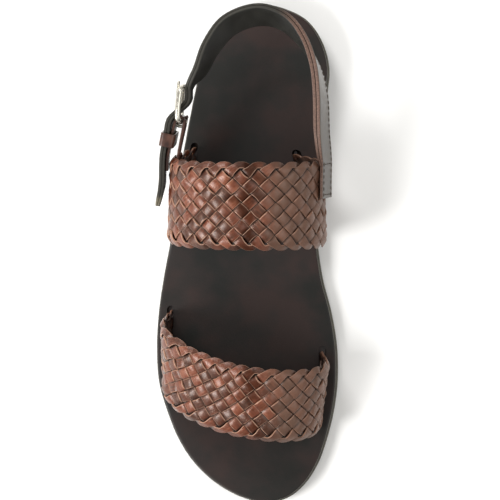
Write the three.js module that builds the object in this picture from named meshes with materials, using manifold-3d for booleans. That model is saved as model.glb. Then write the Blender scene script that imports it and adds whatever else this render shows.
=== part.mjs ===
// A right-foot huarache sandal: a leather outsole and insole on a low rubber heel, two plaited straps let
// into slits of the insole, and a plain heel strap that closes with a small buckle on the outer side.
// Millimetres. +Z is up, the toe points to -Y, the inner (big toe) side is +X, and the origin is the middle
// of the heel's ground face.
import * as THREE from "three";
import { mergeVertices } from "three/addons/utils/BufferGeometryUtils.js";
import Module from "manifold-3d";

const wasm = await Module();
wasm.setup();

// Sole
const soleLength = 288;
const ballWidth = 105.5;
const heelHeight = 9;
const heelLength = 90;
const heelInset = 4.5;
const heelCorner = 3;
const breastAngle = 4;
const breastBevel = 2.5;
const breastOverrun = 1;
const outsoleThickness = 4;
const outsoleRound = 0.9;
const insoleThickness = 3;
const insoleMargin = 0.9;
const insoleRound = 0.6;
const toeSpring = 4.5;
const gap = 0.3;

// Plaited straps
const plaitBase = 1.7;
const plaitRelief = 1.3;
const plaitSwell = 0.9;
const floatTaper = 0.3;
const instepWidth = 49.5;
const instepStrands = 11;
const instepCrest = 58;
const forefootWidth = 43.5;
const forefootStrands = 10;
const forefootCrest = 36;
const slitInset = 9.5;
const slitClearance = 0.5;
const slitOverrun = 2;

// Heel strap, buckle strap and keeper
const strapWidth = 18;
const strapThickness = 3.4;
const lapThickness = 1.7;
const strapEdge = 0.6;
const strapHeight = 60;
const strapStep = 4.5;
const plyThickness = 1.6;
const plyStep = 2.2;
const innerPlyStart = 1;
const innerPlyLeave = 0.6;
const outerPlyEnd = 0.2;
const chapeWidth = 14.5;
const chapeLap = 8;
const tailLap = 29;
const tailFlare = 1.5;
const tailTip = 0.25;
const tailTurns = [20, 40, 55, 70, 80];
const holePitch = 8;
const holeRadius = 1.3;
const spareHoles = 3;
const holeSides = 10;
const keeperLength = 7.6;
const keeperWall = 1.2;

// Buckle
const wireRadius = 1.5;
const buckleLength = 22;
const buckleCorner = 3;
const buckleBow = 2.5;
const buckleClearance = 0.8;
const prongRadius = 0.9;
const prongOverhang = 3.5;
const prongShaft = [-0.2, -0.6, -1];
const prongSegments = 5;
const prongSteps = 30;
const frameSides = 8;
const frameSteps = 44;
const cornerTurns = [15, 45, 75];
const foldTurns = [-90, -45, 0, 45, 90];

// Room that the straps leave round each other, and how finely it and the lines of the straps are cut
const strapRoom = 0.45;
const roomStep = 2;
const lineSamples = 400;

// Sizes that follow from those above
const heelBack = heelLength / 2;
const footbedRise = outsoleThickness + gap + insoleThickness;
const plaitTop = plaitBase + plaitRelief;
const breastShare = heelLength / soleLength;
const tabLength = 5 * footbedRise;
const foldRadius = wireRadius + gap + plyThickness / 2;
const prongFold = wireRadius + 2 * gap + prongRadius;
const strapInside = wireRadius + gap + strapThickness / 2;
const strapOutside = prongFold + prongRadius + gap + strapThickness / 2;
const tailOverPly = foldRadius + (plyThickness + strapThickness) / 2 + gap;
const tailOverPlait = plaitTop + gap + plyThickness + gap + strapThickness / 2;
const smallestEdge = 0.02;

const darkLeather = { color: 0x3a2c28, roughness: 0.45, metalness: 0 };
const soleLeather = { color: 0x37292a, roughness: 0.4, metalness: 0 };
const brownLeather = { color: 0x7a4535, roughness: 0.4, metalness: 0 };
const edgeLeather = { color: 0x6e4434, roughness: 0.4, metalness: 0 };
const greyRubber = { color: 0x474a46, roughness: 0.8, metalness: 0 };
const nickel = { color: 0xb5b0a2, roughness: 0.3, metalness: 1 };

// Outline of the sole. along is a share of its length from the back of the heel, and inner and outer are the
// distances of its two edges from the long axis, as shares of the ball's width.
const outlineRows = [
  { along: 0.012, inner: 0.13, outer: 0.19 },
  { along: 0.035, inner: 0.236, outer: 0.277 },
  { along: 0.075, inner: 0.312, outer: 0.332 },
  { along: 0.13, inner: 0.353, outer: 0.363 },
  { along: 0.2, inner: 0.335, outer: 0.403 },
  { along: 0.29, inner: 0.31, outer: 0.45 },
  { along: 0.38, inner: 0.286, outer: 0.493 },
  { along: 0.47, inner: 0.281, outer: 0.53 },
  { along: 0.55, inner: 0.307, outer: 0.576 },
  { along: 0.62, inner: 0.355, outer: 0.603 },
  { along: 0.69, inner: 0.385, outer: 0.613 },
  { along: 0.76, inner: 0.387, outer: 0.6 },
  { along: 0.82, inner: 0.365, outer: 0.552 },
  { along: 0.875, inner: 0.327, outer: 0.488 },
  { along: 0.92, inner: 0.283, outer: 0.404 },
  { along: 0.96, inner: 0.215, outer: 0.284 },
  { along: 0.988, inner: 0.125, outer: 0.142 },
];
const stepsPerRow = 2;

// Shares of the length where the sole leaves the heel, comes down to the floor and lifts again at the toe.
const soleBend = { heelEnd: breastShare + 0.02, ballStart: 0.58, toeStart: 0.8 };

// Middle of each plaited strap, on its inner face, from the outer slit over the foot to the inner slit. side
// runs from 0 at the outer slit to 1 at the inner one, along is a share of the sole's length, up is a share
// of the crest's height over the footbed, and turn is the angle in degrees by which the strap's front edge
// turns to the outer side.
const instepRows = [
  { side: 0, along: 0.375, up: 0, turn: 3 },
  { side: -0.065, along: 0.386, up: 0.2, turn: 4 },
  { side: -0.1, along: 0.398, up: 0.43, turn: 4 },
  { side: -0.035, along: 0.409, up: 0.7, turn: 4 },
  { side: 0.18, along: 0.418, up: 0.91, turn: 2 },
  { side: 0.52, along: 0.422, up: 1, turn: 0 },
  { side: 0.87, along: 0.422, up: 0.93, turn: 0 },
  { side: 1.115, along: 0.418, up: 0.72, turn: 0 },
  { side: 1.215, along: 0.411, up: 0.43, turn: 0 },
  { side: 1.16, along: 0.402, up: 0.2, turn: 0 },
  { side: 1, along: 0.391, up: 0, turn: 0 },
];
const forefootRows = [
  { side: 0, along: 0.691, up: 0, turn: 0 },
  { side: -0.008, along: 0.698, up: 0.22, turn: 0 },
  { side: -0.004, along: 0.709, up: 0.44, turn: 0 },
  { side: 0.05, along: 0.73, up: 0.67, turn: 0 },
  { side: 0.2, along: 0.761, up: 0.86, turn: 0 },
  { side: 0.44, along: 0.788, up: 0.97, turn: 0 },
  { side: 0.7, along: 0.801, up: 1, turn: 2 },
  { side: 0.88, along: 0.802, up: 0.86, turn: 6 },
  { side: 0.995, along: 0.794, up: 0.6, turn: 9 },
  { side: 1.015, along: 0.782, up: 0.3, turn: 9 },
  { side: 0.99, along: 0.772, up: 0, turn: 7 },
];

// How steeply the width of each plaited strap falls towards the toe, in degrees.
const instepFall = 13;
const forefootFall = 18;

// Free run of the heel strap from the inner side round the back to the buckle: across is a share of the
// ball's width, along a share of the sole's length and up a share of the strap's height, all at the middle of
// the strap. lean is the angle by which its upper edge leans outwards, in degrees.
const heelRows = [
  { across: 0.347, along: 0.278, up: 0.865, lean: -13 },
  { across: 0.343, along: 0.205, up: 0.92, lean: -11 },
  { across: 0.313, along: 0.146, up: 0.965, lean: -2 },
  { across: 0.243, along: 0.096, up: 0.99, lean: 11 },
  { across: 0.145, along: 0.062, up: 1, lean: 20 },
  { across: 0.014, along: 0.05, up: 1.005, lean: 25 },
  { across: -0.136, along: 0.068, up: 1, lean: 24 },
  { across: -0.234, along: 0.109, up: 0.985, lean: 17 },
  { across: -0.296, along: 0.155, up: 0.955, lean: 7 },
];

// The buckle's two ends, in the same shares: its bar lies towards the toe.
const buckleBarEnd = { across: -0.409, along: 0.25, up: 0.86 };
const buckleHeelEnd = { across: -0.39, along: 0.187, up: 0.905 };
const buckleLean = -5;

// How the heel strap climbs through the buckle: toToe is a share of the span between the buckle's two ends,
// and rise a share of the way from the inside of the buckle to its outside.
const buckleClimb = [
  { toToe: -1, rise: 0 },
  { toToe: -0.62, rise: 0.02 },
  { toToe: -0.27, rise: 0.58 },
  { toToe: 0, rise: 1 },
];

// Where the heel strap's inner end and the buckle strap lie along the instep strap, and where the tail ends,
// as shares of the instep strap's length. The keeper's place is a share of the way from the buckle's bar to
// the instep strap.
const innerSeat = 0.81;
const outerSeat = 0.165;
const tailSeat = 0.145;
const innerLap = 21;
const innerSkive = 4;
const keeperShare = 0.5;

function pointAlong(along) {
  return heelBack - along * soleLength;
}

// Height of the outsole's underside over the floor
function soleLift(along) {
  const waist = 1 - THREE.MathUtils.smoothstep(along, soleBend.heelEnd, soleBend.ballStart);
  const toe = Math.max(0, (along - soleBend.toeStart) / (1 - soleBend.toeStart));
  return heelHeight * waist + toeSpring * toe * toe;
}

// Distance of the sole's edge from the long axis at a share of its length
function soleEdge(column, along) {
  const next = outlineRows.findIndex((row) => row.along > along);
  const [low, high] = [outlineRows[next - 1], outlineRows[next]];
  const share = (along - low.along) / (high.along - low.along);
  return ballWidth * THREE.MathUtils.lerp(low[column], high[column], share);
}

// Triangles are gathered as loose corners and become one closed geometry.
class Skin {
  constructor() {
    this.corners = [];
  }

  triangle(a, b, c) {
    const thin = 1e-5;
    if (a.distanceTo(b) < thin || b.distanceTo(c) < thin || c.distanceTo(a) < thin) return;
    this.corners.push(a, b, c);
  }

  quad(a, b, c, d) {
    this.triangle(a, b, c);
    this.triangle(a, c, d);
  }

  geometry() {
    return new THREE.BufferGeometry().setFromPoints(this.corners);
  }
}

function toSolid(geometry) {
  geometry.deleteAttribute("normal");
  geometry.deleteAttribute("uv");
  const merged = mergeVertices(geometry);
  const vertProperties = new Float32Array(merged.attributes.position.array);
  const triVerts = new Uint32Array(merged.index.array);
  return new wasm.Manifold(new wasm.Mesh({ numProp: 3, vertProperties, triVerts }));
}

function toGeometry(solid) {
  const mesh = solid.getMesh();
  const geometry = new THREE.BufferGeometry();
  geometry.setAttribute("position", new THREE.BufferAttribute(mesh.vertProperties, 3));
  geometry.setIndex(new THREE.BufferAttribute(mesh.triVerts, 1));
  return geometry;
}

function toMesh(name, solid, finish) {
  const clean = solid.asOriginal().simplify(smallestEdge);
  const mesh = new THREE.Mesh(toGeometry(clean), new THREE.MeshStandardMaterial(finish));
  mesh.name = name;
  return mesh;
}

// Closed curve round the sole: down the inner side from the heel to the toe and back up the outer side
function soleOutline() {
  const inner = outlineRows.map((row) => new THREE.Vector3(row.inner * ballWidth, pointAlong(row.along), 0));
  const outer = outlineRows.map((row) => new THREE.Vector3(-row.outer * ballWidth, pointAlong(row.along), 0));
  const heel = new THREE.Vector3(0, pointAlong(0), 0);
  const toe = new THREE.Vector3(0, pointAlong(1), 0);
  return new THREE.CatmullRomCurve3([heel, ...inner, toe, ...outer.reverse()], true, "centripetal");
}

const outline = soleOutline();

// One ring of points round the sole, drawn in from the outline and lifted off the underside's profile
function soleRing(inset, lift) {
  const count = outline.points.length * stepsPerRow;
  return Array.from({ length: count }, (_, index) => {
    const point = outline.getPoint(index / count);
    const tangent = outline.getTangent(index / count);
    point.x += inset * tangent.y;
    point.y -= inset * tangent.x;
    const along = (heelBack - point.y) / soleLength;
    point.z = lift + soleLift(along);
    return point;
  });
}

// Closed plate through rings of equal count, given from the lowest to the highest
function plateSolid(rings) {
  const skin = new Skin();
  const count = rings[0].length;
  for (let layer = 0; layer + 1 < rings.length; layer += 1) {
    const [low, high] = [rings[layer], rings[layer + 1]];
    for (let index = 0; index < count; index += 1) {
      const next = (index + 1) % count;
      skin.quad(low[next], low[index], high[index], high[next]);
    }
  }
  const [bottom, top] = [rings[0], rings[rings.length - 1]];
  for (let index = 0; index < count / 2; index += 1) {
    const left = (count - index) % count;
    const nextLeft = count - index - 1;
    skin.quad(top[nextLeft], top[index + 1], top[index], top[left]);
    skin.quad(bottom[left], bottom[index], bottom[index + 1], bottom[nextLeft]);
  }
  return toSolid(skin.geometry());
}

function outsoleSolid() {
  return plateSolid([
    soleRing(outsoleRound, 0),
    soleRing(0, outsoleRound),
    soleRing(0, outsoleThickness - outsoleRound),
    soleRing(outsoleRound, outsoleThickness),
  ]);
}

function insoleSolid() {
  const bottom = outsoleThickness + gap;
  return plateSolid([
    soleRing(insoleMargin, bottom),
    soleRing(insoleMargin, footbedRise - insoleRound),
    soleRing(insoleMargin + insoleRound, footbedRise),
  ]);
}

// Everything in front of the heel's breast, with the breast's corners rounded and its face leaning back
function breastCutter() {
  const inner = soleEdge("inner", breastShare) - heelInset;
  const outer = soleEdge("outer", breastShare) - heelInset;
  const breast = pointAlong(breastShare);
  const shape = new THREE.Shape();
  shape.moveTo(-ballWidth, breast - soleLength);
  shape.lineTo(ballWidth, breast - soleLength);
  shape.lineTo(ballWidth, breast + heelCorner);
  shape.lineTo(inner, breast + heelCorner);
  shape.quadraticCurveTo(inner, breast, inner - heelCorner, breast);
  shape.lineTo(heelCorner - outer, breast);
  shape.quadraticCurveTo(-outer, breast, -outer, breast + heelCorner);
  shape.lineTo(-ballWidth, breast + heelCorner);
  shape.closePath();
  const depth = 2 * heelHeight;
  const geometry = new THREE.ExtrudeGeometry(shape, { depth, bevelEnabled: false, curveSegments: 4 });
  const slant = -Math.tan(THREE.MathUtils.degToRad(breastAngle));
  geometry.applyMatrix4(new THREE.Matrix4().makeShear(slant, 0, 0, 0, 0, -breastBevel / heelHeight));
  geometry.translate(0, breastBevel, -breastOverrun);
  return toSolid(geometry);
}

function heelSolid() {
  const flat = (inset, height) => soleRing(inset, 0).map((point) => point.setZ(height));
  const block = plateSolid([
    flat(heelInset + outsoleRound, 0),
    flat(heelInset, outsoleRound),
    flat(heelInset, heelHeight - gap),
  ]);
  return block.subtract(breastCutter());
}

// A line that a strap follows. points are its middle and widths its width directions, one for each point.
// at() gives the middle and the three directions at a length from the start, and goes on straight past both
// ends.
function strapLine(points, widths) {
  const middle = new THREE.CatmullRomCurve3(points, false, "catmullrom");
  const width = new THREE.CatmullRomCurve3(widths, false, "catmullrom");
  middle.arcLengthDivisions = lineSamples;
  const length = middle.getLength();
  const at = (distance) => {
    const inside = THREE.MathUtils.clamp(distance, 0, length);
    const share = middle.getUtoTmapping(inside / length);
    const along = middle.getTangent(share);
    const centre = middle.getPoint(share).addScaledVector(along, distance - inside);
    const across = width.getPoint(share);
    across.addScaledVector(along, -across.dot(along)).normalize();
    const out = new THREE.Vector3().crossVectors(across, along);
    return { centre, along, across, out };
  };
  return { length, at };
}

function placeOn(frame, across, out) {
  return frame.centre.clone().addScaledVector(frame.across, across).addScaledVector(frame.out, out);
}

// Line of a plaited strap, from its rows
function plaitLine(rows, crest, fall) {
  const last = rows[rows.length - 1];
  const outerSlit = slitInset - soleEdge("outer", rows[0].along);
  const innerSlit = soleEdge("inner", last.along) - slitInset;
  const points = rows.map((row) => {
    const x = THREE.MathUtils.lerp(outerSlit, innerSlit, row.side);
    const footbed = soleLift(row.along) + footbedRise;
    return new THREE.Vector3(x, pointAlong(row.along), footbed + row.up * crest);
  });
  const down = Math.tan(THREE.MathUtils.degToRad(fall));
  const toToe = rows.map((row) => {
    const turn = THREE.MathUtils.degToRad(row.turn);
    return new THREE.Vector3(-Math.sin(turn), -Math.cos(turn), -down);
  });
  return strapLine(points, toToe);
}

// A plaited strap is one wall. Its outer face carries a raised float on each square of the plait, and its two
// edges swell out where a strand turns back. Both ends run on as plain tabs.
function plaitSolid(line, width, strands) {
  const skin = new Skin();
  const rows = Math.round((line.length * strands) / width);
  const frames = Array.from({ length: rows + 1 }, (_, row) => line.at((line.length * row) / rows));
  const acrossAt = (strand) => (strand / strands - 0.5) * width;

  // Corner of the plait's net; a place just past an edge of the net is the turn of a strand on that edge.
  const corner = (strand, row, height) => {
    const inStrand = THREE.MathUtils.clamp(strand, 0, strands);
    const inRow = THREE.MathUtils.clamp(row, 0, rows);
    const turns = (inStrand === 0 || inStrand === strands) && inRow % rows !== 0;
    const swells = turns && (inStrand + inRow) % 2 === 1;
    const swell = swells ? plaitSwell * Math.sign(inStrand - strands / 2) : 0;
    return placeOn(frames[inRow], acrossAt(inStrand) + swell, height);
  };

  const float = (strand, row) => {
    const places = [
      [strand - 1, row],
      [strand, row - 1],
      [strand + 1, row],
      [strand, row + 1],
    ];
    const outer = places.map(([i, j]) => corner(i, j, plaitBase));
    const inner = places.map(([i, j]) => corner(i, j, 0));
    const middle = outer.reduce((sum, point) => sum.add(point), new THREE.Vector3()).divideScalar(4);
    const top = outer.map((point) => {
      return point.clone().lerp(middle, floatTaper).addScaledVector(frames[row].out, plaitRelief);
    });
    for (let side = 0; side < 4; side += 1) {
      const next = (side + 1) % 4;
      skin.quad(outer[side], outer[next], top[next], top[side]);
    }
    skin.quad(...top);
    skin.quad(inner[3], inner[2], inner[1], inner[0]);
  };

  for (let strand = 0; strand <= strands; strand += 1) {
    for (let row = 0; row <= rows; row += 1) {
      if ((strand + row) % 2 === 1) float(strand, row);
    }
  }

  for (let row = 0; row < rows; row += 1) {
    const [low, lowTop] = [corner(0, row, 0), corner(0, row, plaitBase)];
    const [high, highTop] = [corner(0, row + 1, 0), corner(0, row + 1, plaitBase)];
    skin.quad(low, lowTop, highTop, high);
    const [lowFar, lowFarTop] = [corner(strands, row, 0), corner(strands, row, plaitBase)];
    const [highFar, highFarTop] = [corner(strands, row + 1, 0), corner(strands, row + 1, plaitBase)];
    skin.quad(lowFar, highFar, highFarTop, lowFarTop);
  }

  const addTab = (tab, row, flip) => {
    const face = (a, b, c, d) => (flip ? skin.quad(d, c, b, a) : skin.quad(a, b, c, d));
    const end = (strand, height) => placeOn(tab, acrossAt(strand), height);
    const near = (strand, height) => corner(strand, row, height);
    for (let strand = 0; strand < strands; strand += 1) {
      const next = strand + 1;
      face(end(strand, plaitBase), end(next, plaitBase), near(next, plaitBase), near(strand, plaitBase));
      face(near(strand, 0), near(next, 0), end(next, 0), end(strand, 0));
      face(end(strand, 0), end(next, 0), end(next, plaitBase), end(strand, plaitBase));
    }
    face(end(0, 0), end(0, plaitBase), near(0, plaitBase), near(0, 0));
    face(near(strands, 0), near(strands, plaitBase), end(strands, plaitBase), end(strands, 0));
  };
  addTab(line.at(-tabLength), 0, false);
  addTab(line.at(line.length + tabLength), rows, true);
  const belowInsole = plateSolid([soleRing(0, -2 * tabLength), soleRing(0, outsoleThickness + gap)]);
  return toSolid(skin.geometry()).subtract(belowInsole);
}

// A flat strip of leather along a line. edge is how much is taken off its four edges, stand is how far its
// middle lies off the line, widthAt may narrow it along its length, skiveAt takes leather off its inner face,
// and room makes it larger all round.
function stripSolid(line, options, room = 0) {
  const { step, stand = 0, edge = 0, widthAt = () => 1, skiveAt = () => 0, extra = [] } = options;
  const [from, to] = [options.from - room, options.to + room];
  const [width, thickness] = [options.width + 2 * room, options.thickness + 2 * room];
  const skin = new Skin();
  const count = Math.ceil((to - from) / step);
  const even = Array.from({ length: count + 1 }, (_, index) => from + ((to - from) * index) / count);
  const places = [...even, ...extra].sort((a, b) => a - b);
  const rings = places.map((place) => {
    const frame = line.at(place);
    const [side, face] = [(width * widthAt(place)) / 2, thickness / 2];
    const cornersOf = ([acrossWay, outWay]) => {
      const [flat, upright] = [
        [acrossWay * (side - edge), outWay * face],
        [acrossWay * side, outWay * (face - edge)],
      ];
      if (edge === 0) return [flat];
      return acrossWay === outWay ? [upright, flat] : [flat, upright];
    };
    const corners = [[-1, -1], [1, -1], [1, 1], [-1, 1]].flatMap(cornersOf);
    const skive = skiveAt(place);
    return corners.map(([across, out]) => {
      return placeOn(frame, across, out + stand + (out < 0 ? skive : 0));
    });
  });
  const sides = rings[0].length;
  for (let layer = 0; layer + 1 < rings.length; layer += 1) {
    const [near, far] = [rings[layer], rings[layer + 1]];
    for (let index = 0; index < sides; index += 1) {
      const next = (index + 1) % sides;
      skin.quad(near[index], far[index], far[next], near[next]);
    }
  }
  const [first, last] = [rings[0], rings[rings.length - 1]];
  for (let index = 1; index + 1 < sides; index += 1) {
    skin.triangle(first[0], first[index], first[index + 1]);
    skin.triangle(last[0], last[index + 1], last[index]);
  }
  return toSolid(skin.geometry());
}

// Room that a plaited strap takes in the insole, at its two ends
function slitSolids(line, width) {
  const slit = (from, to) =>
    stripSolid(line, {
      from,
      to,
      step: roomStep,
      width: width + 2 * slitOverrun,
      thickness: plaitTop + 2 * slitClearance,
      stand: plaitTop / 2,
    });
  return [slit(-tabLength, tabLength / 2), slit(line.length - tabLength / 2, line.length + tabLength)];
}

// Room that a plaited strap takes along its length
function plaitRoom(line, width) {
  const options = {
    from: 0,
    to: line.length,
    step: roomStep,
    width: width + 2 * plaitSwell,
    thickness: plaitTop,
    stand: plaitTop / 2,
  };
  return stripSolid(line, options, strapRoom);
}

// Round bar along a curve, with two flat ends
function barSolid(curve, radius) {
  const shape = new THREE.Shape().absarc(0, 0, radius, 0, 2 * Math.PI);
  const options = { extrudePath: curve, steps: prongSteps, curveSegments: prongSegments };
  return toSolid(new THREE.ExtrudeGeometry(shape, options));
}

// Round bar along a closed curve
function ringSolid(curve, radius) {
  const skin = new Skin();
  const frames = curve.computeFrenetFrames(frameSteps, true);
  const spot = (step, side) => {
    const turn = (2 * Math.PI * (side % frameSides)) / frameSides;
    const place = step % frameSteps;
    return curve
      .getPointAt(place / frameSteps)
      .addScaledVector(frames.normals[place], radius * Math.cos(turn))
      .addScaledVector(frames.binormals[place], radius * Math.sin(turn));
  };
  for (let step = 0; step < frameSteps; step += 1) {
    for (let side = 0; side < frameSides; side += 1) {
      skin.quad(spot(step, side), spot(step, side + 1), spot(step + 1, side + 1), spot(step + 1, side));
    }
  }
  return toSolid(skin.geometry());
}

const instepLine = plaitLine(instepRows, instepCrest, instepFall);
const forefootLine = plaitLine(forefootRows, forefootCrest, forefootFall);

// Point of the heel strap's free run or of the buckle, from its shares
function upperPoint({ across, along, up }) {
  return new THREE.Vector3(across * ballWidth, pointAlong(along), up * strapHeight);
}

// Direction of a strap's width, downwards, where it runs along a way and leans outwards by an angle
function downward(way, lean) {
  const angle = THREE.MathUtils.degToRad(lean);
  const outward = new THREE.Vector3(way.y, -way.x, 0).normalize();
  return new THREE.Vector3(0, 0, -Math.cos(angle)).addScaledVector(outward, -Math.sin(angle));
}

// The buckle's own frame: its middle is on the bar, along runs to the toe, across downwards and out outwards.
function buckleFrameAt() {
  const centre = upperPoint(buckleBarEnd);
  const along = centre.clone().sub(upperPoint(buckleHeelEnd)).normalize();
  const across = downward(along, buckleLean);
  across.addScaledVector(along, -across.dot(along)).normalize();
  return { centre, along, across, out: new THREE.Vector3().crossVectors(across, along) };
}

const buckle = buckleFrameAt();
const barSpan = buckleLength - 2 * wireRadius;

function onBuckle(toToe, out) {
  return placeOn(buckle, 0, out).addScaledVector(buckle.along, toToe);
}

// Point on the instep strap: seat is a share of its length, lap is measured forwards from its rear edge.
function onInstep(seat, lap, out) {
  return placeOn(instepLine.at(seat * instepLine.length), lap - instepWidth / 2, out);
}

function instepUpward(seat) {
  return instepLine.at(seat * instepLine.length).along;
}

// Middle of the heel strap where the keeper holds it
function keeperMiddle() {
  return onBuckle(0, tailOverPly).lerp(onInstep(outerSeat, 0, tailOverPlait), keeperShare);
}

// The heel strap starts on the inner side of the instep strap, goes round the heel, through the buckle from
// its inside and over its bar, and ends as a tail outside the instep strap.
function heelStrapLine() {
  const onPlait = plaitTop + gap + lapThickness - strapThickness / 2;
  const rows = heelRows.map((row, index) => {
    const point = upperPoint(row);
    const next = upperPoint(heelRows[Math.min(index + 1, heelRows.length - 1)]);
    const previous = upperPoint(heelRows[Math.max(index - 1, 0)]);
    return { point, down: downward(next.sub(previous), row.lean) };
  });
  const climb = buckleClimb.map(({ toToe, rise }) => {
    const out = THREE.MathUtils.lerp(-strapInside, strapOutside, rise);
    return { point: onBuckle(toToe * barSpan, out), down: buckle.across };
  });
  const innerDown = instepUpward(innerSeat);
  const outerDown = instepUpward(outerSeat).negate();
  return [
    { point: onInstep(innerSeat, innerLap, onPlait), down: innerDown },
    { point: onInstep(innerSeat, innerLap / 2, onPlait), down: innerDown },
    { point: onInstep(innerSeat, -1, onPlait), down: innerDown },
    ...rows,
    ...climb,
    { point: keeperMiddle(), down: buckle.across },
    { point: onInstep(outerSeat, 0, tailOverPlait), down: outerDown },
    { point: onInstep(outerSeat, tailLap / 2, tailOverPlait), down: outerDown },
    { point: onInstep(tailSeat, tailLap, tailOverPlait + tailFlare), down: instepUpward(tailSeat).negate() },
  ];
}

const heelStrapRows = heelStrapLine();
const heelStrapDown = heelStrapRows.map((row) => row.down);
const heelLine = strapLine(heelStrapRows.map((row) => row.point), heelStrapDown);

// The prong hooks round the bar, passes through the heel strap and rests on the buckle's far end. Its room
// runs on a little past both of its ends.
const prongHook = [-110, -80, -50, -20, 10, 40, 65];

function prongPath(hook, overhangs) {
  const turns = hook.map((degrees) => {
    const angle = THREE.MathUtils.degToRad(degrees);
    return onBuckle(prongFold * Math.cos(angle), prongFold * Math.sin(angle));
  });
  const shaft = prongShaft.map((share) => onBuckle(share * barSpan, prongFold));
  const tips = overhangs.map((overhang) => onBuckle(-barSpan - overhang, prongFold));
  return new THREE.CatmullRomCurve3([...turns, ...shaft, ...tips], false, "centripetal");
}

function prongSolid() {
  return barSolid(prongPath(prongHook, [prongOverhang]), prongRadius);
}

function prongRoom() {
  const start = 2 * prongHook[0] - prongHook[1];
  return barSolid(prongPath([start, ...prongHook], [prongOverhang, 2 * prongOverhang]), holeRadius);
}

// Length along the heel strap that lies nearest to a point
function placeNear(target) {
  const places = Array.from({ length: lineSamples }, (_, index) => (heelLine.length * index) / lineSamples);
  const gaps = places.map((place) => heelLine.at(place).centre.distanceTo(target));
  return places[gaps.indexOf(Math.min(...gaps))];
}

function heelStrapStrip(room = 0) {
  const length = heelLine.length;
  const round = strapWidth / 2;
  const widthAt = (place) => {
    const share = Math.max(0, (place - length + round) / round);
    return Math.max(tailTip, Math.sqrt(1 - Math.min(share * share, 1)));
  };
  const tailEnd = tailTurns.map((turn) => {
    return length - round + round * Math.sin(THREE.MathUtils.degToRad(turn));
  });
  const skiveAt = (place) => {
    const whole = THREE.MathUtils.smoothstep(place, innerLap - innerSkive / 2, innerLap + innerSkive);
    return (strapThickness - lapThickness) * (1 - whole);
  };
  const lapEnd = [innerLap - innerSkive / 2, innerLap, innerLap + innerSkive];
  const size = { from: 0, to: length, step: strapStep, width: strapWidth, thickness: strapThickness };
  const shape = { edge: strapEdge, widthAt, skiveAt, extra: [...lapEnd, ...tailEnd] };
  return stripSolid(heelLine, { ...size, ...shape }, room);
}

function heelStrapSolid() {
  let strap = heelStrapStrip().subtract(prongRoom()).subtract(plaitRoom(instepLine, instepWidth));
  const barPlace = placeNear(onBuckle(0, strapOutside));
  for (let hole = 1; hole <= spareHoles; hole += 1) {
    const { centre, along, across, out } = heelLine.at(barPlace + (hole + 1 / 2) * holePitch);
    const drill = new THREE.CylinderGeometry(holeRadius, holeRadius, 2 * strapThickness, holeSides);
    drill.applyMatrix4(new THREE.Matrix4().makeBasis(along, out, across).setPosition(centre));
    strap = strap.subtract(toSolid(drill));
  }
  return strap;
}

// The buckle strap is a ply folded round the bar; its two ends hold the instep strap's rear edge between
// them.
function buckleStrapStrip(room = 0) {
  const inside = -gap - plyThickness / 2;
  const outside = plaitTop + gap + plyThickness / 2;
  const up = instepUpward(outerSeat);
  const barUp = buckle.across.clone().negate();
  const fold = foldTurns.map((degrees) => {
    const angle = THREE.MathUtils.degToRad(degrees);
    return onBuckle(-foldRadius * Math.cos(angle), foldRadius * Math.sin(angle));
  });
  const outerEdge = onInstep(outerSeat, 0, outside);
  const rows = [
    { point: onInstep(outerSeat, chapeLap, inside - innerPlyStart), up },
    { point: onInstep(outerSeat, 0, inside - innerPlyLeave), up },
    ...fold.map((point) => ({ point, up: barUp })),
    { point: onBuckle(0, foldRadius).lerp(outerEdge, keeperShare), up: barUp },
    { point: outerEdge, up },
    { point: onInstep(outerSeat, chapeLap, outside + outerPlyEnd), up },
  ];
  const line = strapLine(rows.map((row) => row.point), rows.map((row) => row.up));
  const options = { from: 0, to: line.length, step: plyStep, width: chapeWidth, thickness: plyThickness };
  return stripSolid(line, options, room);
}

function buckleStrapSolid() {
  return buckleStrapStrip()
    .subtract(prongRoom())
    .subtract(frameBar(wireRadius + gap))
    .subtract(heelStrapStrip(gap))
    .subtract(plaitRoom(instepLine, instepWidth));
}

// Loop of leather round the tail and the outer ply of the buckle strap
function keeperSolid() {
  const place = heelLine.at(placeNear(keeperMiddle()));
  const outer = strapThickness / 2 + gap;
  const inner = -strapThickness / 2 - gap - plyThickness - strapRoom;
  const half = strapWidth / 2 + gap;
  const box = (grow) => {
    const shape = new THREE.Shape();
    shape.moveTo(-half - grow, inner - grow);
    shape.lineTo(half + grow, inner - grow);
    shape.lineTo(half + grow, outer + grow);
    shape.lineTo(-half - grow, outer + grow);
    shape.closePath();
    return shape;
  };
  const shape = box(keeperWall);
  shape.holes.push(box(0));
  const geometry = new THREE.ExtrudeGeometry(shape, { depth: keeperLength, bevelEnabled: false });
  geometry.translate(0, 0, -keeperLength / 2);
  const turn = new THREE.Matrix4().makeBasis(place.across.negate(), place.out, place.along);
  geometry.applyMatrix4(turn.setPosition(place.centre));
  return toSolid(geometry)
    .subtract(heelStrapStrip(gap))
    .subtract(buckleStrapStrip(gap))
    .subtract(plaitRoom(instepLine, instepWidth));
}

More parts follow.
